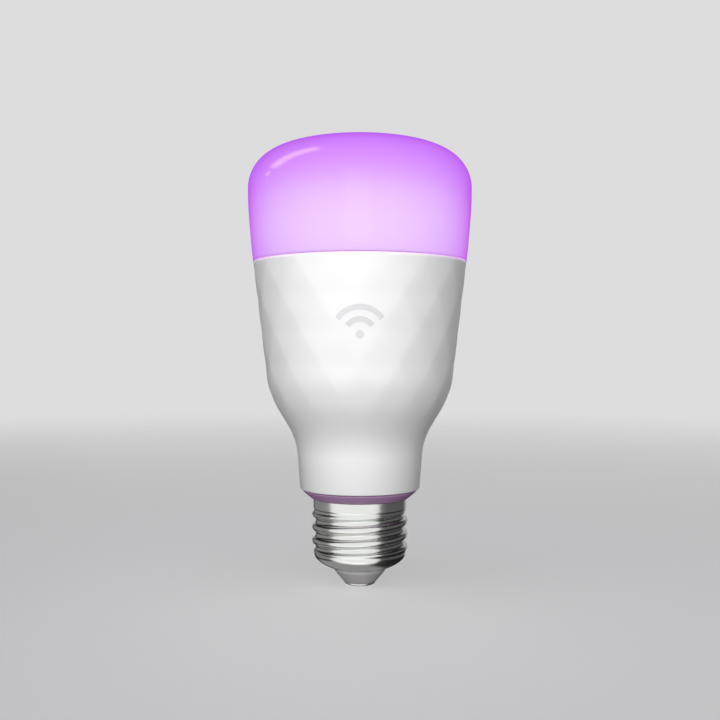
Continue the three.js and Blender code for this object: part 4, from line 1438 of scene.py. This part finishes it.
def make_floor():
    """A plain pale floor, whose far part fades into the background. Only the camera sees it, so the
    lamp is lit as it is in an open studio."""
    bm = bmesh.new()
    bmesh.ops.create_circle(bm, cap_ends=True, segments=96, radius=3.0)
    bmesh.ops.translate(bm, verts=bm.verts, vec=(0, 0, -0.0002))
    recipe = Recipe("floor", PALE, 0.6, Emission_Color=(*PALE, 1), Emission_Strength=0.5)
    recipe.tone(recipe.noise(3, 2), 0.99)
    floor = finish_mesh("floor", bm, [recipe.material])
    distance = recipe.node("VectorMath", {0: recipe.place}, operation="LENGTH").outputs["Value"]
    fade = recipe.ranged(distance, 0.0, 1.0, 0.1, 0.9, "SMOOTHSTEP")
    under = recipe.node("NewGeometry").outputs["Backfacing"]
    gone = recipe.math("MAXIMUM", fade, under)
    clear = recipe.node("BsdfTransparent")
    mix = recipe.node("MixShader", {"Fac": gone, 1: recipe.shader.outputs[0], 2: clear.outputs[0]})
    out = recipe.tree.nodes["Material Output"]
    recipe.tree.links.new(mix.outputs[0], out.inputs["Surface"])
    floor.visible_diffuse = False
    floor.visible_glossy = False
    floor.visible_shadow = False
    return floor


def make_world():
    """A pale background that shines less than it shows, so that the lamp's edges stay soft grey."""
    world = bpy.data.worlds.new("studio")
    world.use_nodes = True
    tree = world.node_tree
    tree.nodes.clear()
    shown, light = (tree.nodes.new("ShaderNodeBackground") for _ in range(2))
    for background, strength in ((shown, 0.9), (light, 0.015)):
        background.inputs["Color"].default_value = (*PALE, 1)
        background.inputs["Strength"].default_value = strength
    path = tree.nodes.new("ShaderNodeLightPath")
    mix = tree.nodes.new("ShaderNodeMixShader")
    out = tree.nodes.new("ShaderNodeOutputWorld")
    tree.links.new(path.outputs["Is Camera Ray"], mix.inputs["Fac"])
    tree.links.new(light.outputs[0], mix.inputs[1])
    tree.links.new(shown.outputs[0], mix.inputs[2])
    tree.links.new(mix.outputs[0], out.inputs["Surface"])
    bpy.context.scene.world = world


def aim(centre, target, upright):
    """The turn of a light that faces a target, with its height along upright."""
    away = (Vector(centre) - Vector(target)).normalized()
    side = Vector(upright).cross(away).normalized()
    return Matrix((side, away.cross(side), away)).transposed().to_euler()


def softbox(name, centre, target, size, radiance, upright=(0, 0, 1), seen="all", lit=(), unlit=()):
    """A soft area light that no camera sees, turned towards a target. seen is what it gives: "all",
    "gloss" alone or "diffuse" alone. It shines on lit alone, or on everything but unlit."""
    data = bpy.data.lights.new(name, "AREA")
    data.shape = "RECTANGLE"
    data.size, data.size_y = size
    data.energy = radiance * math.pi * size[0] * size[1]
    light = bpy.data.objects.new(name, data)
    light.location = centre
    light.rotation_euler = aim(centre, target, upright)
    light.visible_camera = False
    light.visible_diffuse = seen != "gloss"
    light.visible_glossy = seen != "diffuse"
    bpy.context.scene.collection.objects.link(light)
    if not lit and not unlit:
        return
    receivers = bpy.data.collections.new(name + "_receivers")
    for piece in lit or unlit:
        receivers.objects.link(piece)
    light.light_linking.receiver_collection = receivers
    for member in receivers.collection_objects if unlit else ():
        member.light_linking.link_state = "EXCLUDE"


def make_lights(cover, metal, floor):
    """A wide softbox in front, a little to the left and above, a soft light behind, and lights for one
    finish alone: panels that the metal mirrors, and the cover's own key, sides and shoulder streaks."""
    middle = (0, 0, 0.06)
    not_plastic = [floor, cover, *metal]
    softbox("key", (-0.025, -0.2, 0.16), (0, 0, 0.16), (0.74, 0.36), 1.58, unlit=not_plastic)
    softbox("low", (-0.12, -0.32, -0.2), middle, (0.3, 0.2), 0.8, seen="diffuse", unlit=not_plastic)
    softbox("hood", (-0.07, -0.35, 0.72), middle, (1.1, 0.7), 0.5, unlit=[cover, *metal])
    softbox("back_fill", (0, 0.8, 0.1), middle, (0.3, 0.6), 7.0, seen="diffuse", unlit=[floor])
    softbox("back_panel", (0.10, 0.8, 0.15), middle, (0.9, 0.8), 0.5, seen="gloss", unlit=[cover])

    softbox("window", (-0.47, -0.3, 0.0), (-0.47, 0, 0), (1.62, 1.3), 1.12, seen="gloss", lit=metal)
    softbox("left_panel", (-0.6, 0.41, 0.0), (0, 0.41, 0), (1.1, 0.55), 0.26, seen="gloss", lit=metal)
    softbox("right_panel", (0.6, 0.2, 0.0), (0, 0.2, 0), (1.5, 0.5), 0.1, seen="gloss", lit=metal)
    softbox("under_panel", (-0.25, 0.1, -0.5), (-0.25, 0.1, 0), (0.8, 1.4), 0.32, (0, 1, 0), "gloss", metal)

    dome = (0, 0, 0.112)
    for name, x, y, radiance in (
            ("cover_key", -0.03, -0.9, 15.9), ("cover_left", -0.9, 0, 1.2), ("cover_right", 0.9, 0, 1.2)):
        softbox(name, (x, y, 0.1), (0, 0, 0.1), (0.4, 0.4), radiance, seen="diffuse", lit=[cover])
    foot, head = Vector((-0.538, 0.095, 0.346)), Vector((-0.258, -0.06, 0.641))
    softbox("streak", (foot + head) / 2, dome, (0.13, 0.43), 3.6, head - foot, "gloss", [cover])
    softbox("glint", (-0.558, 0.145, 0.27), dome, (0.06, 0.06), 3.2, seen="gloss", lit=[cover])


# ---- Building ----

make_camera()
make_world()
make_housing()
make_collar()
make_insulator()
make_symbol()
make_inside()
make_lights(make_cover(), [make_screw_shell(), make_contact()], make_floor())

bpy.context.scene.view_settings.view_transform = "Standard"
